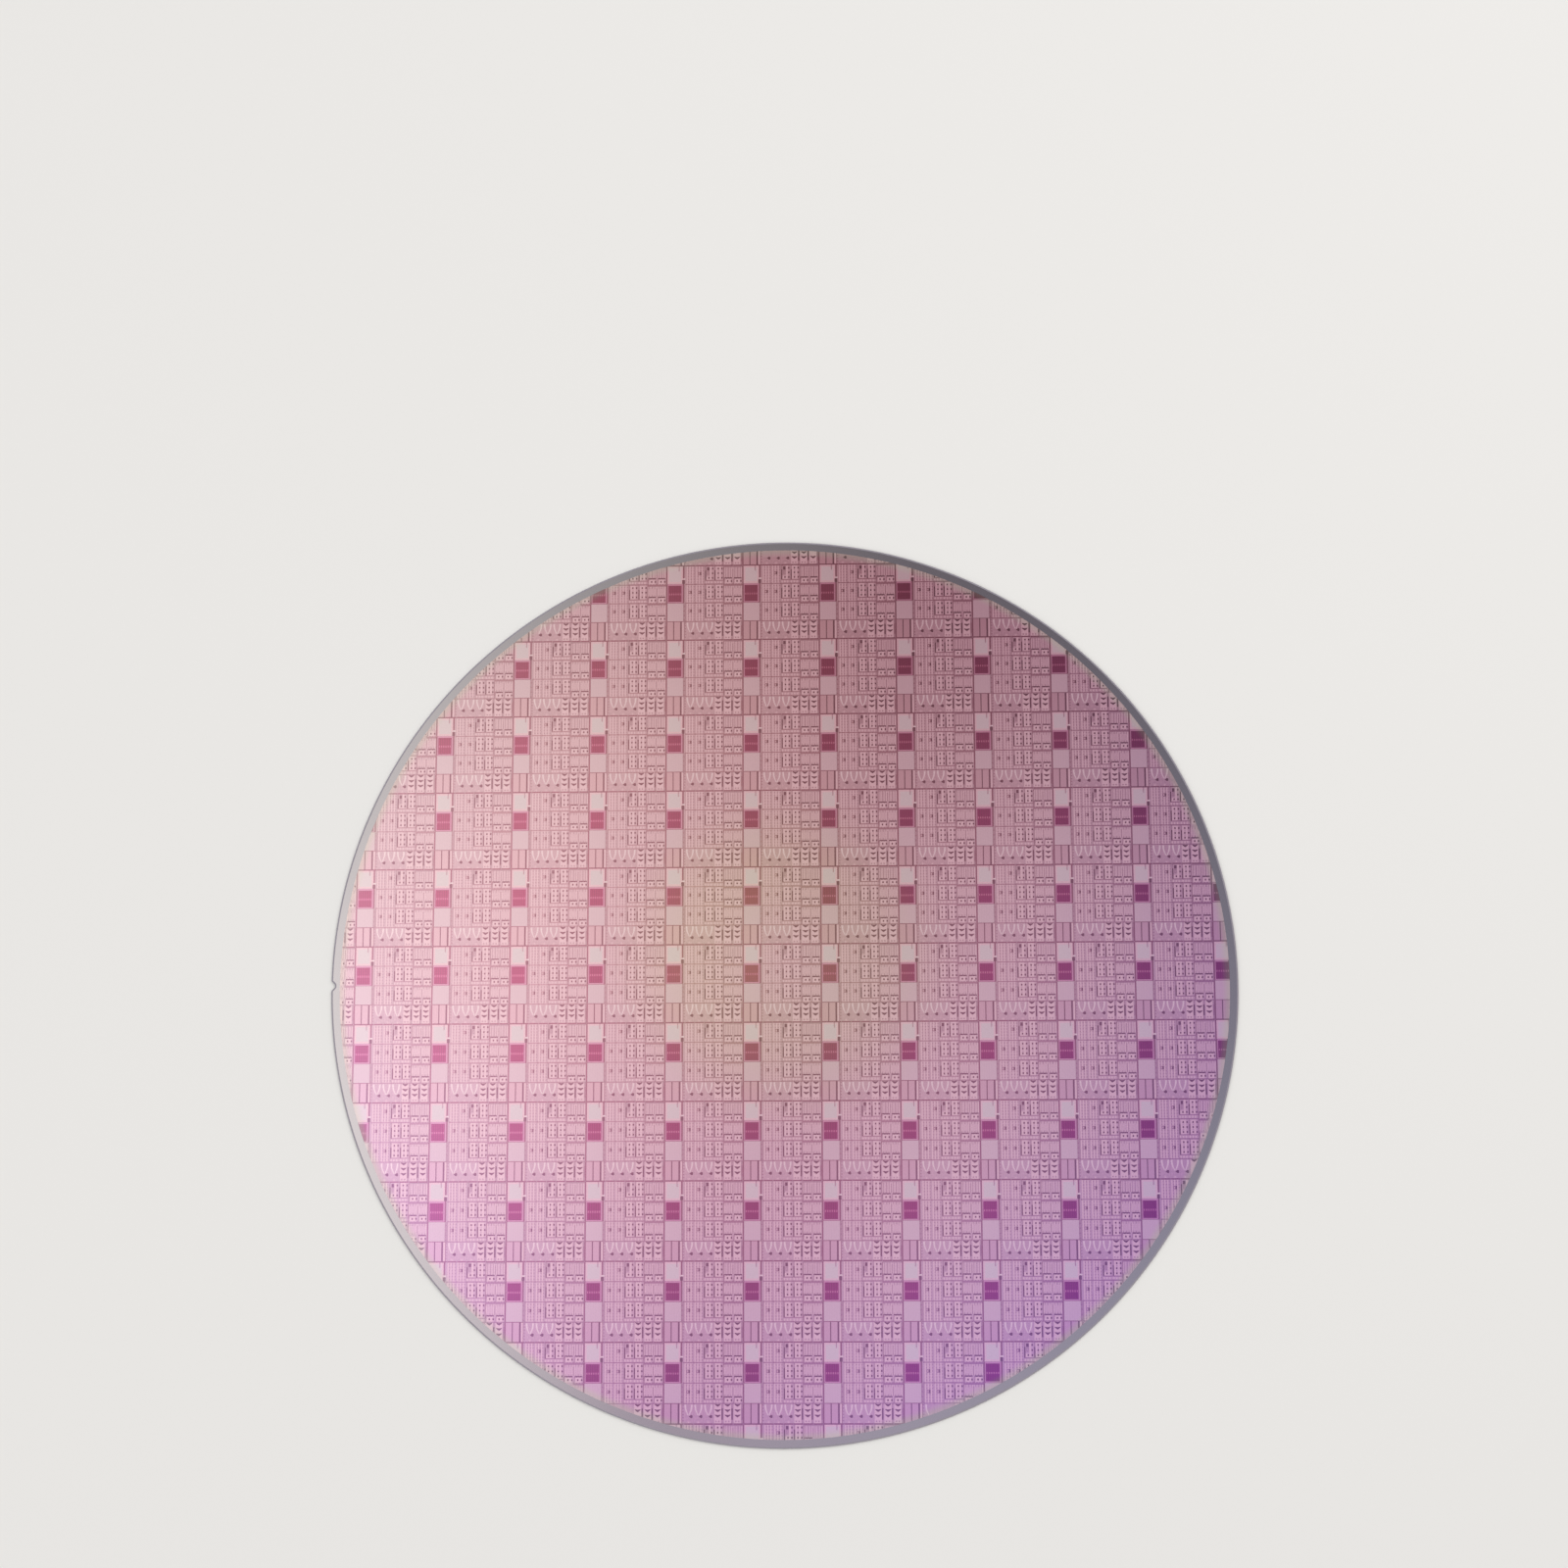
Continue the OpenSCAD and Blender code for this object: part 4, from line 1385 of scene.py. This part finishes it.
class WAFER_OT_chevrons(Operator):
    """Builds the columns of chevrons and their rails in the bottom row"""
    bl_idname = "wafer.chevrons"
    bl_label = "Chevrons"

    def execute(self, context):
        size = context.scene.wafer_chevrons
        field = context.scene.wafer_fields
        inner, last = (3, 4), (5,)
        tiles = inner + last
        gap = field.lane_w / 4
        tall = row_height() - 3 * gap
        ground = grid(size.ground_left, gap, size.ground_w, tall)
        rail = grid(size.rail_left, size.rail_top, size.rail_w, size.rail_h)
        side = grid(size.rail_left, gap, size.rail_w, tall)
        dots = centred(size.dot_x, size.dot_y, size.dot_w, size.dot_w)
        # With fall = 1 - |reach|, a chevron's upper edge drops by sag * fall, and its lower one
        # by wing + (drop - wing) * fall^curve.
        reach = np.array(CHEVRON_CORNERS)
        fall = 1 - abs(reach)
        depth = size.wing_h + (size.drop - size.wing_h) * fall ** CHEVRON_CURVE
        chevrons = np.stack([rail_pair(size.centre + size.half * reach, top + size.sag * fall,
                                       top + depth) for top in size.chevron_y])
        seam = grid(0, -gap, field.tile_w, 2 * gap)
        build_area("chevrons", {
            "bright": [tiled(ground, tiles, LOWER_ROW)],
            "soft": [tiled(side, tiles, LOWER_ROW), tiled(dots, tiles, LOWER_ROW)],
            "band": [tiled(seam, tiles, LOWER_ROW), tiled(rail, last, LOWER_ROW)],
            "dark": ([tiled(rail, inner, LOWER_ROW)], (tiled(chevrons, tiles, LOWER_ROW),))})
        return {"FINISHED"}


STEPS = (WAFER_OT_stage, WAFER_OT_slice, WAFER_OT_films, WAFER_OT_pads, WAFER_OT_array,
         WAFER_OT_vias, WAFER_OT_sockets, WAFER_OT_combs, WAFER_OT_vees, WAFER_OT_chevrons)
GROUPS = {"wafer_slice": SliceSizes, "wafer_fields": FieldSizes, "wafer_pads": PadSizes,
          "wafer_array": ArraySizes, "wafer_vias": ViaSizes, "wafer_sockets": SocketSizes,
          "wafer_combs": CombSizes, "wafer_vees": VeeSizes, "wafer_chevrons": ChevronSizes,
          "wafer_colours": FilmColours, "wafer_stage": StageSizes}


class WAFER_PT_steps(Panel):
    """Lists the steps that build the wafer"""
    bl_idname = "WAFER_PT_steps"
    bl_label = "Patterned wafer"
    bl_space_type = "VIEW_3D"
    bl_region_type = "UI"
    bl_category = "Wafer"

    def draw(self, context):
        for step in STEPS:
            self.layout.operator(step.bl_idname)


def register():
    for group in GROUPS.values():
        bpy.utils.register_class(group)
    for name, group in GROUPS.items():
        setattr(bpy.types.Scene, name, PointerProperty(type=group))
    for step in (*STEPS, WAFER_PT_steps):
        bpy.utils.register_class(step)


def unregister():
    for step in (WAFER_PT_steps, *reversed(STEPS)):
        bpy.utils.unregister_class(step)
    for name in GROUPS:
        delattr(bpy.types.Scene, name)
    for group in reversed(GROUPS.values()):
        bpy.utils.unregister_class(group)


def main():
    """Builds everything in order."""
    register()
    for step in STEPS:
        area, name = step.bl_idname.split(".")
        getattr(getattr(bpy.ops, area), name)()


if __name__ == "__main__":
    main()
